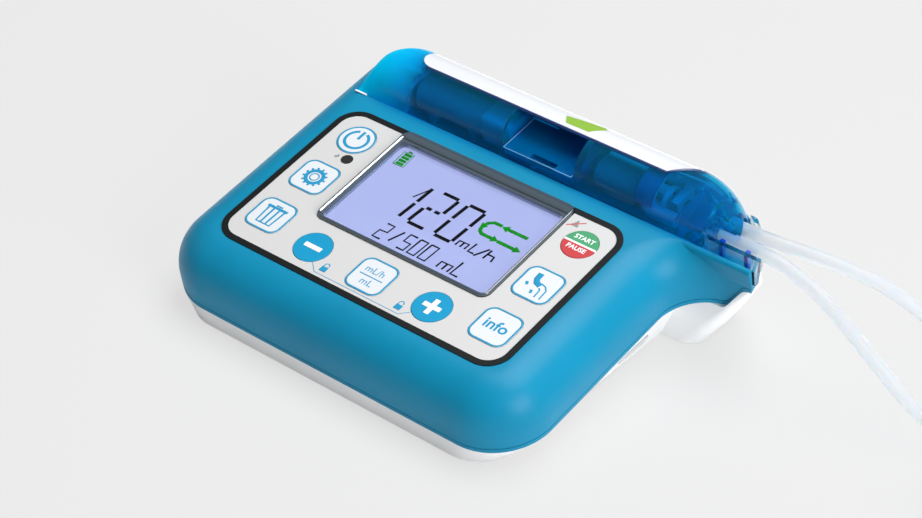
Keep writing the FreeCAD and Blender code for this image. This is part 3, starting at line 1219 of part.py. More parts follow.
def build_tubing():
    for name, (socket, coil_name, side, shares) in ROUTES.items():
        start = ground_point("socket_end", socket, "tube_up")
        reach, low = num(f"{coil_name}_reach"), num("tube_radius")
        points = [start] + [Vector(start.x + along * reach, start.y + aside * reach,
                                   low + fall * (start.z - low))
                            for along, aside, fall in shares]
        radii = []
        for before, corner, after in zip(points, points[1:], points[2:]):
            turn = (corner - before).getAngle(after - corner)
            run = min((corner - before).Length, (after - corner).Length)
            radii.append(0.45 * run / math.tan(turn / 2))
        wire = path_wire(points, radii)
        solid = swept(wire, num("tube_radius"))
        share = solid.Volume / (wire.Length * math.pi * num("tube_radius") ** 2)
        print(name, "length", round(wire.Length, 1), "volume share", round(share, 4),
              "radii", [round(r, 1) for r in radii])
        end = name.replace("tube_", "")
        entry = f"({socket} * cos(tilt) + {coil_name}_entry)"
        back = f"({entry} + {side} * coil_radius)"
        spot = (f"placement(vector({coil_name}_right; {back}; coil_section);"
                " rotation(vector(0; 0; 1); 0))")
        rings = []
        for role, frame in (("coil", f"({FRAMES['ground']}) * {spot}"), ("mark", spot)):
            ring = doc.addObject("Part::Torus", f"{role}_{end}")
            ring.setExpression("Radius1", ex("coil_radius"))
            ring.setExpression("Radius2", ex("coil_section"))
            ring.setExpression("Placement", ex(frame))
            rings.append(ring)
        coil, mark = rings
        node(f"coil_{end}", coil)
        node(name, cut(name, feature(f"{name}_run", solid), mark, frame="ground"))
        face = f"{coil_name}_right + luer_set"
        body = rod(f"luer_{end}", (face, entry, "luer_radius"), "luer_radius",
                   "luer_length * 0.7", "x")
        tip = rod(f"luer_tip_{end}", (f"{face} + luer_length * 0.6", entry, "luer_radius"),
                  "luer_radius * 0.6", "luer_length * 0.4", "x")
        wings = block(f"luer_wings_{end}", (f"{face} + luer_length * 0.3",
                                            f"{entry} - luer_radius * 1.8",
                                            "luer_radius * 0.7"),
                      (f"{face} + luer_length * 0.6", f"{entry} + luer_radius * 1.8",
                       "luer_radius * 1.3"))
        connector = {"to_patient": "patient_connector", "from_bag": "bag_connector"}[end]
        node(connector, cut(connector, fuse(f"{connector}_solid", body, tip, wings), mark,
                            frame="ground"))


# ---- build, check and write

for build in (build_front_shell, build_seam_trim, build_base_shell,
              build_feet_and_fasteners, build_keys, build_keypad, build_display,
              build_boards, build_battery, build_chassis, build_drive, build_rotor,
              build_pump_tube, build_cassette, build_door, build_latch, build_tubing):
    build()
doc.recompute()

failed = [o.Label for o in doc.Objects if "Invalid" in o.State or "Error" in o.State]
if failed:
    raise RuntimeError(f"failed objects: {failed}")
for name, obj in nodes.items():
    if obj.Shape.isNull() or not obj.Shape.isValid() or not obj.Shape.Solids:
        raise RuntimeError(f"bad shape: {name}")

os.makedirs("parts", exist_ok=True)
for name, obj in nodes.items():
    obj.Shape.exportStep(f"parts/{name}.step")
    print(name, len(obj.Shape.Solids), round(obj.Shape.Volume, 1))
print(len(nodes), "pieces")
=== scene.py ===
import json
import math

import bpy
from mathutils import Matrix, Vector


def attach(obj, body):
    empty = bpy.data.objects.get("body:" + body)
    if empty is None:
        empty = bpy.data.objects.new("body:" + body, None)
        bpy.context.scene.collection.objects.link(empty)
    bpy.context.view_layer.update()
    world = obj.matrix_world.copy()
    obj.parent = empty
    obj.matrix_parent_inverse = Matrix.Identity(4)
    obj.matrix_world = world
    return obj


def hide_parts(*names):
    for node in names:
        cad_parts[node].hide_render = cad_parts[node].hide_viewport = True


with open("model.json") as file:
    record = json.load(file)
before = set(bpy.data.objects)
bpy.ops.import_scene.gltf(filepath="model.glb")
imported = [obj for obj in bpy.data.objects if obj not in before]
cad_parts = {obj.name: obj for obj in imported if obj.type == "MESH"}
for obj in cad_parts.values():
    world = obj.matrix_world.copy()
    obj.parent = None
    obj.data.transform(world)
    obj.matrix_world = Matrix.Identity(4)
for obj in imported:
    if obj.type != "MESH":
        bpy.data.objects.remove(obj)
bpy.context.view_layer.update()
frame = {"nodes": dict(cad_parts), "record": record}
nodes = frame["nodes"]
mm = 0.001
bpy.ops.object.select_all(action="DESELECT")

# the sloped keypad's own frame: x to the right, y up the slope, z out of the face, in mm
foot = next(m for m in frame["record"]["mounts"] if m["name"] == "standing_foot")["pos_m"]
panel = {"tilt": 10, "right": foot[0] * 1000 - 43.5, "back": foot[1] * 1000 + 12, "up": 28.9}
panelPlace = (Matrix.Translation(Vector((panel["right"], panel["back"], panel["up"])) * mm)
              @ Matrix.Rotation(math.radians(panel["tilt"]), 4, "X") @ Matrix.Scale(mm, 4))
groundPlace = Matrix.Translation(Vector((panel["right"], panel["back"], 0)) * mm)


# camera
lensSet = {"azimuth": 39.36, "elevation": 36.33, "lens": 99.09, "sensor": 36,
           "place": (391.2, -439.7, 436.2)}
corner = Vector((panel["right"], panel["back"], panel["up"]))
bpy.ops.object.camera_add(
    location=(Vector(lensSet["place"]) + corner) * mm,
    rotation=(math.radians(90 - lensSet["elevation"]), 0, math.radians(lensSet["azimuth"])))
camera = bpy.context.object
camera.data.lens = lensSet["lens"]
camera.data.sensor_width = lensSet["sensor"]
camera.data.clip_start = 0.01
bpy.context.scene.camera = camera


def toLinear(hexText, alpha=1):
    out = []
    for i in (0, 2, 4):
        c = int(hexText[i:i + 2], 16) / 255
        out.append(c / 12.92 if c <= 0.04045 else ((c + 0.055) / 1.055) ** 2.4)
    return (*out, alpha)


def addNode(tree, kind, settings=None, links=None):
    node = tree.nodes.new(kind)
    for key, value in (settings or {}).items():
        if isinstance(key, int) or key in node.inputs:
            node.inputs[key].default_value = value
        else:
            setattr(node, key, value)
    for key, source in (links or {}).items():
        tree.links.new(source, node.inputs[key])
    return node


def startMaterial(name):
    material = bpy.data.materials.new(name)
    material.use_nodes = True
    material.node_tree.nodes.clear()
    return material, material.node_tree


def finishMaterial(tree, shader):
    addNode(tree, "ShaderNodeOutputMaterial", links={"Surface": shader.outputs[0]})


def grainBump(tree, size, depth, detail=2):
    # a fine random texture of that grain size and depth, both in mm
    place = addNode(tree, "ShaderNodeTexCoord")
    noise = addNode(tree, "ShaderNodeTexNoise", {"Scale": 1000 / size, "Detail": detail},
                    {"Vector": place.outputs["Object"]})
    bump = addNode(tree, "ShaderNodeBump", {"Strength": 1.0, "Distance": depth * mm},
                   {"Height": noise.outputs["Fac"]})
    return noise, bump


def mouldedPlastic(name, color, rough=0.38, grain=0.45, depth=0.006, shade=0.93, coat=0.0,
                   ior=1.5):
    # moulded plastic: an even colour that drifts slightly to a darker shade, a spark-eroded
    # grain of that size and depth in mm, satin gloss
    material, tree = startMaterial(name)
    noise, bump = grainBump(tree, grain, depth)
    place = addNode(tree, "ShaderNodeTexCoord")
    drift = addNode(tree, "ShaderNodeTexNoise", {"Scale": 35, "Detail": 3},
                    {"Vector": place.outputs["Object"]})
    full = toLinear(color)
    ramp = addNode(tree, "ShaderNodeValToRGB", links={"Fac": drift.outputs["Fac"]})
    ramp.color_ramp.elements[0].color = tuple(c * shade for c in full[:3]) + (1,)
    ramp.color_ramp.elements[0].position = 0.3
    ramp.color_ramp.elements[1].color = full
    ramp.color_ramp.elements[1].position = 0.62
    spread = addNode(tree, "ShaderNodeMapRange", {"To Min": rough * 0.88,
                                                  "To Max": min(rough * 1.15, 1)},
                     {"Value": noise.outputs["Fac"]})
    shader = addNode(tree, "ShaderNodeBsdfPrincipled", {"IOR": ior, "Coat Weight": coat},
                     {"Base Color": ramp.outputs["Color"],
                      "Roughness": spread.outputs["Result"],
                      "Normal": bump.outputs["Normal"]})
    finishMaterial(tree, shader)
    return material


def machinedMetal(name, color, rough=0.25, grain=0.3):
    # turned or drawn metal: a metallic sheen with fine marks
    material, tree = startMaterial(name)
    noise, bump = grainBump(tree, grain, 0.003, 4)
    spread = addNode(tree, "ShaderNodeMapRange", {"To Min": rough * 0.7, "To Max": rough * 1.3},
                     {"Value": noise.outputs["Fac"]})
    shader = addNode(tree, "ShaderNodeBsdfPrincipled",
                     {"Base Color": toLinear(color), "Metallic": 1.0},
                     {"Roughness": spread.outputs["Result"],
                      "Normal": bump.outputs["Normal"]})
    finishMaterial(tree, shader)
    return material


def tintedClear(name, tint, rough=0.05, ior=1.49, strength=1.0, haze=0.0, hazeColor="FFFFFF",
                paintedGlowEnd=None):
    # clear moulded plastic: glossy skin, and light passes through with the tint. Its shadow
    # is tinted light, so what lies under it stays lit. haze is the share that looks cloudy.
    # paintedGlowEnd: where along x, in mm, a painted glow for light shining through the end
    # starts, is full, and its haze
    material, tree = startMaterial(name)
    bump = grainBump(tree, 6, 0.02, 1)[1]
    glass = addNode(tree, "ShaderNodeBsdfPrincipled",
                    {"Base Color": toLinear(tint), "Roughness": rough, "IOR": ior,
                     "Transmission Weight": strength},
                    {"Normal": bump.outputs["Normal"]})
    through = addNode(tree, "ShaderNodeBsdfTransparent", {"Color": toLinear(tint)})
    path = addNode(tree, "ShaderNodeLightPath")
    body = glass
    if haze:
        cloudy = addNode(tree, "ShaderNodeBsdfPrincipled",
                         {"Base Color": toLinear(hazeColor), "Roughness": 0.6,
                          "Specular IOR Level": 0.0, "Subsurface Weight": 0.4,
                          "Subsurface Scale": 0.002})
        body = addNode(tree, "ShaderNodeMixShader", {0: haze},
                       {1: glass.outputs[0], 2: cloudy.outputs[0]})
        # painted light: the haze rises towards the end, a brighter cloudy colour standing in
        # for light shining through
        if paintedGlowEnd:
            along = addNode(tree, "ShaderNodeSeparateXYZ", links={
                "Vector": addNode(tree, "ShaderNodeTexCoord").outputs["Object"]})
            share = addNode(tree, "ShaderNodeMapRange", {
                "From Min": paintedGlowEnd[0] * mm, "From Max": paintedGlowEnd[1] * mm, "To Min": haze,
                "To Max": paintedGlowEnd[2]}, {"Value": along.outputs["X"]})
            tree.links.new(share.outputs["Result"], body.inputs[0])
    mixed = addNode(tree, "ShaderNodeMixShader", links={
        0: path.outputs["Is Shadow Ray"], 1: body.outputs[0], 2: through.outputs[0]})
    finishMaterial(tree, mixed)
    return material


def inkPrint(name, color, rough=0.5, glow=0.0, scatter=1.0):
    # printed ink: flat colour, matte, with a faint unevenness. A lit panel glows in its
    # colour and scatters only part of the room's light
    material, tree = startMaterial(name)
    noise, bump = grainBump(tree, 0.3, 0.002)
    full = toLinear(color)
    ramp = addNode(tree, "ShaderNodeValToRGB", links={"Fac": noise.outputs["Fac"]})
    ramp.color_ramp.elements[0].color = tuple(c * 0.95 * scatter for c in full[:3]) + (1,)
    ramp.color_ramp.elements[1].color = tuple(c * scatter for c in full[:3]) + (1,)
    shader = addNode(tree, "ShaderNodeBsdfPrincipled",
                     {"Roughness": rough, "IOR": 1.2, "Emission Color": full,
                      "Emission Strength": glow},
                     {"Base Color": ramp.outputs["Color"], "Normal": bump.outputs["Normal"]})
    finishMaterial(tree, shader)
    return material


finishes = {
    "shellBlue": mouldedPlastic("satin blue ABS", "0A84AA", 0.38, ior=1.27),
    "baseWhite": mouldedPlastic("white ABS", "F2F3F4", 0.42, shade=0.98),
    "padFace": mouldedPlastic("grey polyester film", "C6C6C6", 0.5, 0.25, 0.004, 0.985),
    "padBlack": mouldedPlastic("black silicone rubber", "0D1214", 0.45, 0.3, 0.004, 0.9,
                               ior=1.27),
    "keyWhite": mouldedPlastic("white silicone key", "D3D8DC", 0.45, 0.25, 0.003, 0.985),
    "keyBlue": mouldedPlastic("cyan silicone key", "068FBC", 0.45, 0.25, 0.003, 0.96, ior=1.3),
    "printBlue": inkPrint("blue ink", "2590BC"),
    "printWhite": inkPrint("white ink", "F6F8F9"),
    "printGrey": inkPrint("grey ink", "8E9092"),
    "printRed": inkPrint("red ink", "C6403C"),
    "screen": inkPrint("lit display glass", "B2BCEE", 0.8, 0.7, 0.16),
    "screenBlack": inkPrint("display segment", "020305", 0.9),
    "screenGreen": inkPrint("green display segment", "04650F", 0.9),
    "rubberGrey": mouldedPlastic("grey rubber", "C9CCCE", 0.6, 0.4, 0.006),
    "rubberDark": mouldedPlastic("dark rubber", "45474B", 0.7, 0.4, 0.008),
    "steel": machinedMetal("polished steel", "C9CCCF"),
    "brass": machinedMetal("turned brass", "C2A05F"),
    "bezel": mouldedPlastic("smoked glossy bezel", "45525C", 0.1, 2, 0.002, 0.9, 1.0),
    "bezelBright": machinedMetal("bright rail", "C9CED2", 0.12),
    "lensBlack": mouldedPlastic("smoked sensor lens", "2A2A29", 0.12, 1, 0.001),
    "clear": tintedClear("clear display window", "FBFCFF", 0.02, 1.1),
    "board": mouldedPlastic("green board resist", "1E6B45", 0.35),
    "blackPart": mouldedPlastic("black component", "202225", 0.4),
    "battery": mouldedPlastic("battery wrap", "3C5F8C", 0.3),
    "tray": mouldedPlastic("grey tray moulding", "8FA3AD", 0.4),
    "motorCan": mouldedPlastic("painted motor can", "98A4AB", 0.28),
    "gearbox": mouldedPlastic("gearbox shell", "B4C2C8", 0.35),
    "sleeve": mouldedPlastic("grey sleeve moulding", "8C9AA2", 0.35),
    "rotor": mouldedPlastic("white acetal", "E9EDF0", 0.3),
    "tubing": tintedClear("soft clear tubing", "E4E8EB", 0.3, 1.3, 1.0, 0.34, "DADEE2"),
    "cassette": tintedClear("clear cassette moulding", "EDF4F6", 0.06),
    "cassetteBlue": mouldedPlastic("royal blue moulding", "0B45BE", 0.25),
    # the door's left end has a painted glow: cloudier cyan standing in for light shining
    # through the end
    "doorBlue": tintedClear("clear blue polycarbonate", "06B0DE", 0.02, 1.25, haze=0.06,
                            hazeColor="00C6F0", paintedGlowEnd=(-48, -64, 0.88)),
    "latchBlue": tintedClear("clear blue latch", "0ABCE2", 0.04, 1.25, haze=0.5,
                             hazeColor="0068A0"),
    # painted highlight: a pale opaque colour for the light along the latch plate's edges
    "paintedEdgeHighlight": mouldedPlastic("painted edge highlight", "6FA3CC", 0.12, 2, 0.001),
    # painted shade: a dark navy colour for the refraction along the inlay's front step
    "paintedRefractionShade": mouldedPlastic("painted refraction shade", "0B2F66", 0.2, 1, 0.001, coat=0.5),
    "inlay": mouldedPlastic("white gloss inlay", "DCDFE4", 0.22, 0.5, 0.002, 0.985, 0.3),
    "patchGreen": inkPrint("light green print", "86AE42"),
    "connector": mouldedPlastic("violet connector", "7C4DA0", 0.3),
}


def twoColourKey():
    # the start and pause key: green upper half, red lower half, a white line between
    material, tree = startMaterial("green and red key print")
    place = addNode(tree, "ShaderNodeTexCoord")
    turn = panelPlace.inverted()
    # a Mapping node turns the row frame into the panel's own, in mm
    mapping = addNode(tree, "ShaderNodeMapping", {
        "vector_type": "POINT", "Location": turn.to_translation(),
        "Rotation": turn.to_euler(), "Scale": (1000, 1000, 1000)},
        {"Vector": place.outputs["Object"]})
    split = addNode(tree, "ShaderNodeSeparateXYZ", links={"Vector": mapping.outputs[0]})
    above = addNode(tree, "ShaderNodeMath", {"operation": "SUBTRACT", 1: startKey["v"]},
                    {0: split.outputs["Y"]})
    reach = startKey["reach"]
    share = addNode(tree, "ShaderNodeMapRange", {"From Min": -reach, "From Max": reach},
                    {"Value": above.outputs[0]})
    ramp = addNode(tree, "ShaderNodeValToRGB", links={"Fac": share.outputs[0]})
    ramp.color_ramp.interpolation = "CONSTANT"
    edge = startKey["line"] / (2 * reach)
    ramp.color_ramp.elements[0].color = toLinear("BA2A30")
    ramp.color_ramp.elements[1].color = toLinear("F2F4F5")
    ramp.color_ramp.elements[1].position = 0.5 - edge
    last = ramp.color_ramp.elements.new(0.5 + edge)
    last.color = toLinear("369463")
    bump = grainBump(tree, 0.25, 0.003)[1]
    shader = addNode(tree, "ShaderNodeBsdfPrincipled", {"Roughness": 0.45},
                     {"Base Color": ramp.outputs["Color"],
                      "Normal": bump.outputs["Normal"]})
    finishMaterial(tree, shader)
    return material


startKey = {"u": 43.1, "v": 39.28, "reach": 6.0, "line": 0.35, "text": 2.35, "start": 2.35,
            "pause": -1.95}
finishes["startPause"] = twoColourKey()
print("materials made")

# the pump tubes outside: their routes, then neat coils past the view's right edge. seats is
# how many turns lie round each other, slide the part of a turn in which the tube changes
# seats, and leave the turn at which its last stretch swings out and lifts
tubeSet = {"diameter": 4.1, "coil": 22.5, "height": 6.2, "turns": 5.94, "perTurn": 16,
           "seats": 6, "slide": 0.25, "leave": 5.5, "leaveRun": 0.35, "lift": 2.2,
           "swing": 4.2}
routes = {
    "tubeToPatient": [(76.5, 61.1, 42.31), (84.5, 61.1, 42.3), (97.4, 61, 41.9),
                      (112, 60.4, 37), (127, 60.2, 26), (141.1, 61.6, 13.5),
                      (156.1, 62.7, 5.1), (173.3, 63.3, 2.3), (186.7, 63.55, 2.1)],
    "tubeFromBag": [(76.5, 66.12, 43.2), (83.4, 66.12, 43.2), (94.6, 66.8, 43.2),
                    (109, 70.6, 42), (125, 76.6, 36.5), (139.3, 81.35, 25.9),
                    (153.2, 82.95, 13.8), (164.9, 82.4, 4.9), (173.4, 81.8, 2.2)],
}
# each coil's middle, and the side it is wound to
coilPlaces = {"tubeToPatient": (199, 41.45, 1), "tubeFromBag": (183, 104.47, -1)}


def ramped(value, start, run):
    # 0 up to start, then evenly up to 1 over the run
    return min(max((value - start) / run, 0), 1)


def coilPoints(middleX, middleY, side):
    # turns that seat round each other; the last swings out and over the incoming tube
    points = []
    step = tubeSet["diameter"]
    for i in range(int(tubeSet["turns"] * tubeSet["perTurn"]) + 1):
        turn = i / tubeSet["perTurn"]
        whole = int(turn)
        slide = 0
        if whole < tubeSet["seats"] - 1:
            slide = ramped(turn - whole, 1 - tubeSet["slide"], tubeSet["slide"])
        seat = math.radians(-90 - 360 / tubeSet["seats"] * (whole + slide))
        leave = ramped(turn, tubeSet["leave"], tubeSet["leaveRun"])
        radius = tubeSet["coil"] + step * math.cos(seat) + tubeSet["swing"] * leave
        height = tubeSet["height"] + step * math.sin(seat) + tubeSet["lift"] * leave
        angle = side * (math.radians(90) - 2 * math.pi * turn)
        points.append((middleX + radius * math.cos(angle),
                       middleY + radius * math.sin(angle), height))
    return points


def makeCord(name, cadParts):
    # the route, the coil, and a free end that leaves the coil for its connector
    middleX, middleY, side = coilPlaces[name]
    points = list(routes[name]) + coilPoints(middleX, middleY, side)
    points += [(middleX + dx, middleY + side * dy, z) for dx, dy, z in
               ((-2, 30.2, 5.6), (6, 29.6, 4.8), (12, 26.4, 4.1), (16.5, 23.4, 4),
                (21.4, 22.5, 4))]
    bpy.ops.curve.primitive_nurbs_path_add()
    cord = bpy.context.object
    cord.name = name
    cord.data.splines.clear()
    spline = cord.data.splines.new("NURBS")
    spline.points.add(len(points) - 1)
    for point, place in zip(spline.points, points):
        point.co = (*(groundPlace @ (Vector(place) * mm)), 1)
    spline.order_u = 3
    spline.use_endpoint_u = True
    cord.data.dimensions = "3D"
    cord.data.resolution_u = 8
    cord.data.bevel_depth = tubeSet["diameter"] / 2 * mm
    cord.data.bevel_resolution = 6
    cord.data.materials.append(finishes["tubing"])
    cord.location = (0, 0, 0)
    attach(cord, "housing")
    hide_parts(*cadParts)
    return cord


makeCord("tubeToPatient", ["tube_to_patient", "coil_to_patient"])
makeCord("tubeFromBag", ["tube_from_bag", "coil_from_bag"])
print("cords laid")

# finishes of the pieces that come from the frame
nodeFinish = {
    "front_shell": "shellBlue", "seam_trim": "shellBlue", "base_shell": "baseWhite",
    "port_cover": "rubberGrey", "rubber_feet": "rubberDark", "housing_screws": "steel",
    "clamp_inserts": "brass", "battery_cover": "baseWhite", "battery_cover_screws": "steel",
    "battery_pack": "battery", "keypad_gasket": "padBlack", "keypad_overlay": "padFace",
    "light_sensor": "lensBlack", "display_bezel": "bezel", "display_window": "clear",
    "lcd_module": "screen", "backlight": "baseWhite", "keypad_board": "board",
    "main_board": "board", "buzzer": "blackPart", "pump_chassis": "tray",
    "motor": "motorCan", "gearbox": "gearbox", "shaft_sleeve": "sleeve",
    "bearing_left": "steel", "bearing_right": "steel", "drive_shaft": "steel",
    "rotor": "rotor", "roller_pins": "steel", "roller_1": "rotor", "roller_2": "rotor",
    "roller_3": "rotor", "pump_tube": "tubing", "cassette_body": "cassette",
    "cassette_bars": "cassetteBlue", "door": "doorBlue", "door_inlay": "inlay",
    "platen": "latchBlue", "hinge_pin": "steel", "latch": "latchBlue", "latch_pin": "steel",
    "patient_connector": "connector", "bag_connector": "connector",
    "power_key": "keyWhite", "settings_key": "keyWhite", "clear_key": "keyWhite",
    "minus_key": "keyBlue", "unit_key": "keyWhite", "plus_key": "keyBlue",
    "start_pause_key": "startPause", "prime_key": "keyWhite", "info_key": "keyWhite",
}
for name, finish in nodeFinish.items():
    piece = nodes[name]
    piece.data.materials.clear()
    piece.data.materials.append(finishes[finish])
print("frame finishes set")


def settle(piece, name, finish, body, place=panelPlace):
    # puts a finished piece's place into its mesh, then names it, paints it and hangs it on
    piece.data.transform(place @ piece.matrix_world)
    piece.matrix_world = Matrix.Identity(4)
    piece.name = name
    piece.data.materials.clear()
    piece.data.materials.append(finishes[finish])
    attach(piece, body)
    return piece


def drawLines(name, lines, width, finish, body, level=0.3, closed=False, proud=0.03):
    # printed lines: each is a run of points on the panel, drawn as a low raised line. A round
    # rim has proud at half its width, and its points may have a height as well
    bpy.ops.curve.primitive_nurbs_path_add()
    drawing = bpy.context.object
    drawing.data.splines.clear()
    for line in lines:
        spline = drawing.data.splines.new("POLY")
        spline.points.add(len(line) - 1)
        for point, (x, y, *rise) in zip(spline.points, line):
            point.co = (x, y, rise[0] if rise else 0, 1)
        spline.use_cyclic_u = closed
    drawing.data.dimensions = "3D"
    drawing.data.bevel_depth = width / 2
    drawing.data.bevel_resolution = 2
    drawing.data.use_fill_caps = True
    drawing.location = (0, 0, 0)
    bpy.ops.object.convert(target="MESH")
    drawing = bpy.context.object
    flat = Matrix.Translation((0, 0, level)) @ Matrix.Diagonal((1, 1, 2 * proud / width, 1))
    drawing.data.transform(flat)
    return settle(drawing, name, finish, body)


def drawText(name, words, x, y, size, finish, body, level=0.3, squeeze=1.0, bold=0.0,
             proud=0.03):
    bpy.ops.object.text_add(location=(0, 0, 0))
    drawing = bpy.context.object
    drawing.data.body = words
    drawing.data.size = size
    drawing.data.align_x = "CENTER"
    drawing.data.align_y = "CENTER"
    drawing.data.extrude = proud
    drawing.data.offset = bold
    drawing.data.resolution_u = 6
    bpy.ops.object.convert(target="MESH")
    drawing = bpy.context.object
    drawing.data.transform(Matrix.Translation((x, y, level))
                           @ Matrix.Diagonal((squeeze, 1, 1, 1)))
    return settle(drawing, name, finish, body)


def arcPoints(x, y, radius, start, end, count=24):
    return [(x + radius * math.cos(math.radians(start + (end - start) * i / count)),
             y + radius * math.sin(math.radians(start + (end - start) * i / count)))
            for i in range(count + 1)]


def roundedSquare(x, y, half, radius):
    points = []
    for turn, (sx, sy) in enumerate(((1, 1), (-1, 1), (-1, -1), (1, -1))):
        points += arcPoints(x + sx * (half - radius), y + sy * (half - radius), radius,
                            90 * turn, 90 * turn + 90, 8)
    return points


# key outlines and signs
keySet = {"outline": 0.62, "inset": 0.32, "half": 6.5, "corner": 3.2, "round": 6.14,
          "top": 0.3, "columns": (-42.3, 43.1), "rows": (0, 19.64, 39.28), "low": -3.55}
left, right = keySet["columns"]
low, mid, high = keySet["rows"]
squares = {"settings": (left, mid), "clear": (left, low), "unit": (0.3, keySet["low"]),
           "prime": (right, mid), "info": (right, low)}
for key, (x, y) in squares.items():
    ring = roundedSquare(x, y, keySet["half"] - keySet["inset"],
                         keySet["corner"] - keySet["inset"])
    drawLines(f"{key}Outline", [ring], keySet["outline"], "printBlue", f"{key}_key_body",
              keySet["top"], True)
drawLines("powerOutline", [arcPoints(left, high, keySet["round"] - keySet["inset"], 0, 352.5,
                                     47)],
          keySet["outline"], "printBlue", "power_key_body", keySet["top"], True)

signSet = {"power": 3.75, "gearTeeth": 13, "gearOuter": 4.05, "gearInner": 3.1}
drawLines("powerSign", [arcPoints(left, high, signSet["power"], 112, 428, 40)], 1.0,
          "printBlue", "power_key_body")
drawLines("powerBar", [[(left + 0.1, high + 0.4), (left + 0.1, high + 4.1)]], 1.0,
          "printBlue", "power_key_body")

drawLines("gearWheel", [arcPoints(left, mid, 2.75, 0, 352.5, 47)], 1.25, "printBlue",
          "settings_key_body", closed=True)
drawLines("gearHub", [arcPoints(left, mid, 1.45, 0, 352.5, 47)], 0.45, "printBlue",
          "settings_key_body", closed=True)
teeth = []
for i in range(signSet["gearTeeth"]):
    turn = 2 * math.pi * i / signSet["gearTeeth"]
    ray = Vector((math.cos(turn), math.sin(turn)))
    inner, outer = ray * signSet["gearInner"], ray * signSet["gearOuter"]
    teeth.append([(left + inner.x, mid + inner.y), (left + outer.x, mid + outer.y)])
drawLines("gearTeeth", teeth, 0.75, "printBlue", "settings_key_body")


def binLines(name, lines, width):
    # lines of the waste bin on the clear key, from the key's middle
    drawLines(name, [[(left + x, low + y) for x, y in line] for line in lines], width,
              "printBlue", "clear_key_body")


binLines("binLid", [[(-3.8, 3.1), (3.8, 3.1)]], 1.0)
binLines("binKnob", [[(-1.2, 4.0), (1.2, 4.0)]], 0.6)
binLines("binSides", [[(-3.0, 2.8), (-2.6, -4.0), (2.6, -4.0), (3.0, 2.8)],
                      [(-1.05, 2.8), (-0.95, -3.9)], [(1.05, 2.8), (0.95, -3.9)]], 0.68)

minusX, plusX, signY, bar = -22.5, 22.8, keySet["low"], 3.1
drawLines("minusSign", [[(minusX - bar, signY), (minusX + bar, signY)]], 1.8, "printWhite",
          "minus_key_body")
drawLines("plusSign", [[(plusX - bar, signY), (plusX + bar, signY)],
                       [(plusX, signY - bar), (plusX, signY + bar)]], 1.8, "printWhite",
          "plus_key_body")

drawText("rateText", "mL/h", 0, -1.55, 3.5, "printBlue", "unit_key_body",
         squeeze=0.98)
drawLines("unitLine", [[(-3.9, -3.95), (4.5, -3.95)]], 0.4, "printBlue", "unit_key_body")
drawText("doseText", "mL", 0.4, -6.35, 3.5, "printBlue", "unit_key_body")
drawText("infoText", "info", right, low + 0.2, 5.4, "printBlue", "info_key_body",
         bold=0.1)
drawText("startText", "START", startKey["u"], startKey["v"] + startKey["start"],
         startKey["text"], "printWhite", "start_pause_key_body", bold=0.045)
drawText("pauseText", "PAUSE", startKey["u"], startKey["v"] + startKey["pause"],
         startKey["text"], "printWhite", "start_pause_key_body", bold=0.045)


def primeLines(name, lines, width):
    # prime sign: a bent tube, filled above and open below, with two drops
    drawLines(name, [[(right + x, mid + y) for x, y in line] for line in lines], width,
              "printBlue", "prime_key_body")


primeLines("primeFull", [[(-1.9, 4.2), (-1.8, 1.8), (-1.0, 0.5), (0.7, -0.1)]], 1.9)
primeLines("primeOpen", [[(0.6, 0.9), (2.3, 0.4), (3.4, -0.9), (3.6, -4.6)],
                         [(0.9, -0.9), (1.6, -1.5), (1.8, -4.6)]], 0.5)
primeLines("primeDrops", [[(-3.7, -0.4), (-3.0, -1.6)], [(-0.5, -2.5), (-0.1, -3.8)]], 0.9)

# small signs on the keypad's face
faceTop = 0.15


def faceLines(name, lines, width, ink="printBlue"):
    drawLines(name, lines, width, ink, "housing", faceTop, proud=0.02)


faceLines("lockLine", [[(-18.4, -8.4), (-15.6, -11.0), (16.3, -11.0), (18.9, -8.5)]], 0.25)
for side, x in (("Left", -13.8), ("Right", 14.5)):
    faceLines(f"lockBody{side}", [[(x - 1.15, -8.8), (x + 1.15, -8.8)]], 2.0)
    faceLines(f"lockShackle{side}", [[(x - 0.8, -7.9), *arcPoints(x, -7.2, 0.8, 180, 0, 10),
                                      (x + 0.8, -7.4)]], 0.35)
faceLines("bellSign", [[(35.8, 45.0), (38.1, 45.0)], [(36.3, 45.8), (37.6, 45.8)],
                       [(36.6, 46.6), (37.3, 46.6)]], 0.95, "printGrey")
# the cross lies over the bell
drawLines("bellCross", [[(34.6, 43.9), (39.4, 47.4)]], 0.4, "printRed", "housing",
          faceTop + 0.01)
faceLines("lampSign", [[(-43.6, 30.2), (-42.1, 30.9)], [(-42.6, 31.5), (-42.9, 29.9)]], 0.6,
          "printGrey")
print("keypad signs drawn")

# the bezel's rounded rails: a wide dark one above the display, a narrow bright one beside it
railSet = {"left": -30.3, "start": -29.6, "right": 33, "low": 8.5, "end": 47, "high": 48.4,
           "top": 1.2, "wide": 3.4, "narrow": 1.4, "proud": 0.5}
drawLines("bezelRailTop", [[(railSet["start"], railSet["high"]),
                            (railSet["right"], railSet["high"])]],
          railSet["wide"], "bezel", "housing", railSet["top"],
          proud=railSet["proud"])
drawLines("bezelRailLeft", [[(railSet["left"], railSet["low"]),
                             (railSet["left"], railSet["end"])]],
          railSet["narrow"], "bezelBright", "housing", railSet["top"],
          proud=railSet["proud"])

# the door's dome above the keypad plane: its crest line, middle height and radius
dome = {"v": 68.95, "w": 0.247, "radius": 11.453}


def onDome(u, v, out=0.0):
    radius = dome["radius"] + out
    return (u, v, dome["w"] + math.sqrt(max(radius ** 2 - (v - dome["v"]) ** 2, 0)))
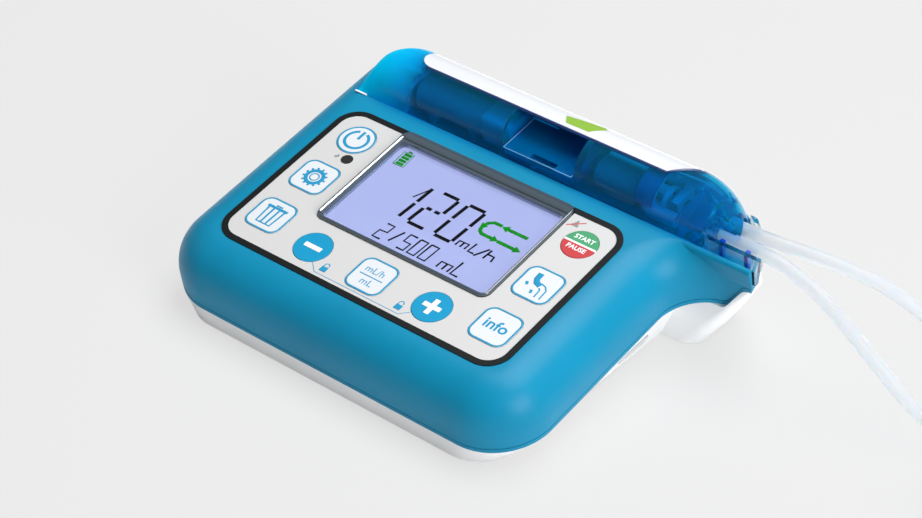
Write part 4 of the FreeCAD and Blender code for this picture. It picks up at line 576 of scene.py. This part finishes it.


# painted shade in front of the inlay: a dark navy line for the refraction at its front step. It
# runs along the dome, then turns back over it
edgeShadeSet = {"v": 67.75, "left": -36, "turn": 54, "right": (61, 75), "steps": 6, "wide": 0.95,
          "sink": -0.2}
edgeShadeTurn, edgeShadeEnd = (Vector((edgeShadeSet["turn"], edgeShadeSet["v"])), Vector(edgeShadeSet["right"]))
edgeShadePoints = [(edgeShadeSet["left"], edgeShadeSet["v"])]
edgeShadePoints += [edgeShadeTurn.lerp(edgeShadeEnd, i / edgeShadeSet["steps"]) for i in range(edgeShadeSet["steps"] + 1)]
drawLines("inlayEdgeShade", [[onDome(u, v, edgeShadeSet["sink"]) for u, v in edgeShadePoints]],
          edgeShadeSet["wide"], "paintedRefractionShade", "door_leaf", 0,
          proud=edgeShadeSet["wide"] / 2)

# painted highlights on the latch plate's edges: pale lines for the light caught by its polished
# edges
edgeSet = {"corners": ((0.55, 72.9), (0.55, 58.1), (25.9, 58.1), (25.9, 72.9)), "top": 3.42,
           "wide": 0.4, "proud": 0.12}
drawLines("latchPaintedHighlights", [edgeSet["corners"]], edgeSet["wide"], "paintedEdgeHighlight", "latch_plate",
          edgeSet["top"], proud=edgeSet["proud"])

# a green mark on the inlay: a five-cornered patch, cut finely and laid on the dome
patchSet = {"corners": ((14.0, 72.8), (16.1, 69.6), (24.4, 69.8), (27.9, 74.4), (26.4, 75.6)),
            "out": 0.05, "thick": 0.04, "cuts": 14}
bpy.ops.mesh.primitive_circle_add(vertices=len(patchSet["corners"]), fill_type="TRIFAN")
patch = bpy.context.object
middle = sum(map(Vector, patchSet["corners"]), Vector((0, 0))) / len(patchSet["corners"])
# the circle's corners in the order of their angle, with its middle last
spots = sorted(patch.data.vertices,
               key=lambda v: (v.co.length < 0.1, math.atan2(v.co.y, v.co.x)))
for vertex, place in zip(spots, (*patchSet["corners"], middle)):
    vertex.co = (*place, 0)
bpy.ops.object.mode_set(mode="EDIT")
bpy.ops.mesh.select_all(action="SELECT")
bpy.ops.mesh.subdivide(number_cuts=patchSet["cuts"])
bpy.ops.object.mode_set(mode="OBJECT")
for vertex in patch.data.vertices:
    vertex.co = onDome(vertex.co.x, vertex.co.y, patchSet["out"])
solid = patch.modifiers.new("thickness", "SOLIDIFY")
solid.thickness = patchSet["thick"]
bpy.ops.object.modifier_apply(modifier="thickness")
settle(patch, "inlayPatch", "patchGreen", "door_leaf")

# the housing's lip in front of the cassette: its top edge lies level with the keypad's face
lipSet = {"start": 63, "end": 90.25, "back": 57.18, "reach": 1.85, "low": -8.1, "top": -0.04,
          "foot": 0.1, "edge": 1.3}
bpy.ops.mesh.primitive_cube_add(size=1)
lip = bpy.context.object
lip.data.transform(Matrix.Translation(((lipSet["start"] + lipSet["end"]) / 2,
                                       lipSet["back"] - lipSet["reach"] / 2,
                                       (lipSet["low"] + lipSet["top"]) / 2))
                   @ Matrix.Diagonal((lipSet["end"] - lipSet["start"], lipSet["reach"],
                                      lipSet["top"] - lipSet["low"], 1)))


def pickEdges(piece, test):
    # selects the edges whose two ends both pass the test, and stays in edit mode
    bpy.ops.object.mode_set(mode="EDIT")
    bpy.ops.mesh.select_mode(type="EDGE")
    bpy.ops.mesh.select_all(action="DESELECT")
    bpy.ops.object.mode_set(mode="OBJECT")
    for edge in piece.data.edges:
        edge.select = all(test(piece.data.vertices[i].co) for i in edge.vertices)
    bpy.ops.object.mode_set(mode="EDIT")


# its front leans back to the seam below, and its top edge is rounded
pickEdges(lip, lambda co: co.z < lipSet["low"] + 0.1 and co.y < lipSet["back"] - 0.5)
bpy.ops.transform.translate(value=(0, lipSet["reach"] - lipSet["foot"], 0))
bpy.ops.object.mode_set(mode="OBJECT")
pickEdges(lip, lambda co: co.z > lipSet["top"] - 0.1 and co.y < lipSet["back"] - 0.5)
bpy.ops.mesh.bevel(offset=lipSet["edge"], segments=5)
bpy.ops.object.mode_set(mode="OBJECT")
bpy.ops.object.shade_smooth_by_angle(angle=math.radians(40))
settle(lip, "cassetteLip", "shellBlue", "housing")

# a small white mark on the seam, at the door's left end
glintSet = {"start": -58, "end": -53.5, "v": 57.1, "wide": 0.7, "top": 0.25}
drawLines("seamGlint", [[(glintSet["start"], glintSet["v"]), (glintSet["end"], glintSet["v"])]],
          glintSet["wide"], "baseWhite", "housing", glintSet["top"],
          proud=glintSet["top"])
print("door trim and lip made")

# what the display shows: segments lie on the lit glass
segmentSet = {"top": -0.98, "proud": 0.015, "big": 1.25, "small": 0.68, "flag": 0.5}


def screenLines(name, lines, width, finish="screenBlack"):
    return drawLines(name, lines, width, finish, "housing", segmentSet["top"],
                     proud=segmentSet["proud"])


screenLines("digitOne", [[(-9.1, 35.5), (-9.6, 28.8)], [(-9.7, 27.8), (-10.3, 21.0)]],
            segmentSet["big"])
screenLines("digitOneFlag", [[(-9.4, 35.0), (-12.0, 29.6)]], segmentSet["flag"])
screenLines("digitTwo", [[(-5.1, 35.9), (0.7, 35.9)], [(1.0, 35.3), (0.4, 28.9)],
                         [(-0.5, 28.2), (-2.4, 28.2)], [(-3.6, 28.2), (-5.5, 28.2)],
                         [(-6.2, 27.6), (-6.8, 21.2)], [(-6.5, 20.6), (-0.6, 20.6)]],
            segmentSet["big"])
screenLines("digitZero", [[(4.9, 35.9), (10.7, 35.9)], [(11.0, 35.3), (10.5, 28.8)],
                          [(10.4, 27.7), (9.9, 21.2)], [(9.5, 20.6), (3.7, 20.6)],
                          [(3.3, 21.2), (3.8, 27.7)], [(3.9, 28.8), (4.5, 35.3)]],
            segmentSet["big"])
screenLines("rateSign", [[(11.6, 20.5), (11.8, 22.6), (15.2, 22.7), (15.0, 20.5)],
                         [(13.5, 22.6), (13.3, 20.5)],
                         [(16.9, 24.2), (16.4, 20.4), (18.5, 20.4)],
                         [(18.9, 19.8), (21.6, 24.4)],
                         [(22.4, 24.4), (22.0, 20.4)], [(22.2, 22.5), (24.6, 22.5),
                                                        (24.9, 20.4)]], segmentSet["small"])
screenLines("doseSign", [[(-11.0, 16.8), (-8.2, 16.8), (-8.6, 13.7), (-11.3, 13.5),
                          (-11.7, 10.4), (-8.8, 10.4)],
                         [(-4.1, 16.6), (-6.3, 11.2)],
                         [(0.7, 16.8), (-2.0, 16.8), (-2.2, 13.6), (0.4, 13.6), (0.1, 10.4),
                          (-2.5, 10.4)],
                         [(2.0, 16.8), (4.7, 16.8), (4.2, 10.4), (1.5, 10.4), (2.0, 16.8)],
                         [(6.0, 16.8), (8.8, 16.8), (8.3, 10.4), (5.5, 10.4), (6.0, 16.8)],
                         [(12.6, 10.4), (12.8, 13.0), (16.9, 13.1), (16.6, 10.4)],
                         [(14.9, 13.0), (14.7, 10.4)],
                         [(18.4, 16.0), (17.9, 10.4), (20.6, 10.4)]], segmentSet["small"])
screenLines("flowLines", [[(28.2, 33.8), (20.6, 33.8)], [(18.6, 34.0), (15.8, 34.0),
                                                         (14.2, 32.8), (13.8, 31.6)],
                          [(13.6, 30.2), (14.2, 29.0), (15.4, 28.3), (19.2, 28.3)],
                          [(21.2, 28.2), (27.4, 28.2)]], segmentSet["big"], "screenGreen")


def arrowHead(name, x, y, turn):
    # a flat triangular head, turned in degrees from pointing right
    bpy.ops.mesh.primitive_circle_add(vertices=3, radius=1.6, fill_type="NGON")
    head = bpy.context.object
    bpy.ops.object.mode_set(mode="EDIT")
    bpy.ops.mesh.select_all(action="SELECT")
    bpy.ops.mesh.extrude_region_move(TRANSFORM_OT_translate={"value": (0, 0, 0.02)})
    bpy.ops.object.mode_set(mode="OBJECT")
    head.data.transform(Matrix.Translation((x, y, segmentSet["top"]))
                        @ Matrix.Rotation(math.radians(turn - 90), 4, "Z"))
    head.matrix_world = Matrix.Identity(4)
    return settle(head, name, "screenGreen", "housing")


arrowHead("flowHeadBack", 20.2, 33.8, 180)
arrowHead("flowHeadDown", 13.7, 31.2, 255)
arrowHead("flowHeadRight", 19.9, 28.3, 0)
arrowHead("flowHeadOut", 28.2, 28.2, 0)
screenLines("batteryCase", [[(-26.9, 38.0), (-27.1, 43.9), (-23.2, 44.0), (-23.0, 38.1),
                             (-26.9, 38.0)]], 0.35, "screenGreen")
screenLines("batteryNub", [[(-25.9, 44.5), (-24.4, 44.5)]], 0.6, "screenGreen")
screenLines("batteryBars", [[(-26.4, y), (-23.6, y)] for y in (38.9, 40.3, 41.7, 43.1)],
            1.15, "screenGreen")
print("display drawn")

# floor, light and background
lightSet = {"world": 0.2, "key": 11.2, "fill": 7.6, "rim": 0.25, "floor": 0.8}


def areaLight(name, place, target, size, power):
    bpy.ops.object.light_add(type="AREA", location=place)
    lamp = bpy.context.object
    lamp.name = name
    lamp.data.shape = "RECTANGLE"
    lamp.data.size, lamp.data.size_y = size
    lamp.data.energy = power
    lamp.rotation_euler = (Vector(target) - Vector(place)).to_track_quat("-Z", "Y").to_euler()
    return lamp


areaLight("overheadSoftbox", (0.1, 0.25, 0.95), (0, 0, 0), (0.9, 0.6), lightSet["key"])
areaLight("rightSoftbox", (0.95, -0.2, 0.45), (0, 0, 0.02), (0.5, 0.6), lightSet["fill"])
areaLight("leftSoftbox", (-0.9, -0.3, 0.55), (0, 0, 0.02), (0.5, 0.6), lightSet["rim"])

world = bpy.data.worlds.new("studio")
bpy.context.scene.world = world
world.use_nodes = True
world.node_tree.nodes.clear()
around = addNode(world.node_tree, "ShaderNodeBackground",
                 {"Color": toLinear("FFFFFF"), "Strength": lightSet["world"]})
seen = addNode(world.node_tree, "ShaderNodeBackground",
               {"Color": toLinear("E9E9E9"), "Strength": 1.0})
rays = addNode(world.node_tree, "ShaderNodeLightPath")
both = addNode(world.node_tree, "ShaderNodeMixShader", links={
    0: rays.outputs["Is Camera Ray"], 1: around.outputs[0], 2: seen.outputs[0]})
addNode(world.node_tree, "ShaderNodeOutputWorld", links={"Surface": both.outputs[0]})

floorMaterial, tree = startMaterial("pale studio floor")
lit = addNode(tree, "ShaderNodeBsdfDiffuse", {"Color": toLinear("E4E4E4")})
# seen straight on or through clear plastic, the floor is mostly an even tone of its own
plain = addNode(tree, "ShaderNodeEmission", {"Color": toLinear("E7E7E7"), "Strength": 1.0})
rays = addNode(tree, "ShaderNodeLightPath")
view = addNode(tree, "ShaderNodeMath", {"operation": "MAXIMUM"},
               {0: rays.outputs["Is Camera Ray"], 1: rays.outputs["Is Transmission Ray"]})
share = addNode(tree, "ShaderNodeMath", {"operation": "MULTIPLY", 1: lightSet["floor"]},
                {0: view.outputs[0]})
finishMaterial(tree, addNode(tree, "ShaderNodeMixShader", links={
    0: share.outputs[0], 1: lit.outputs[0], 2: plain.outputs[0]}))
bpy.ops.mesh.primitive_plane_add(size=6, location=(0, 0, -0.0002))
floor = bpy.context.object
floor.name = "floor"
floor.data.materials.append(floorMaterial)
bpy.context.scene.view_settings.view_transform = "Standard"
print("studio ready")
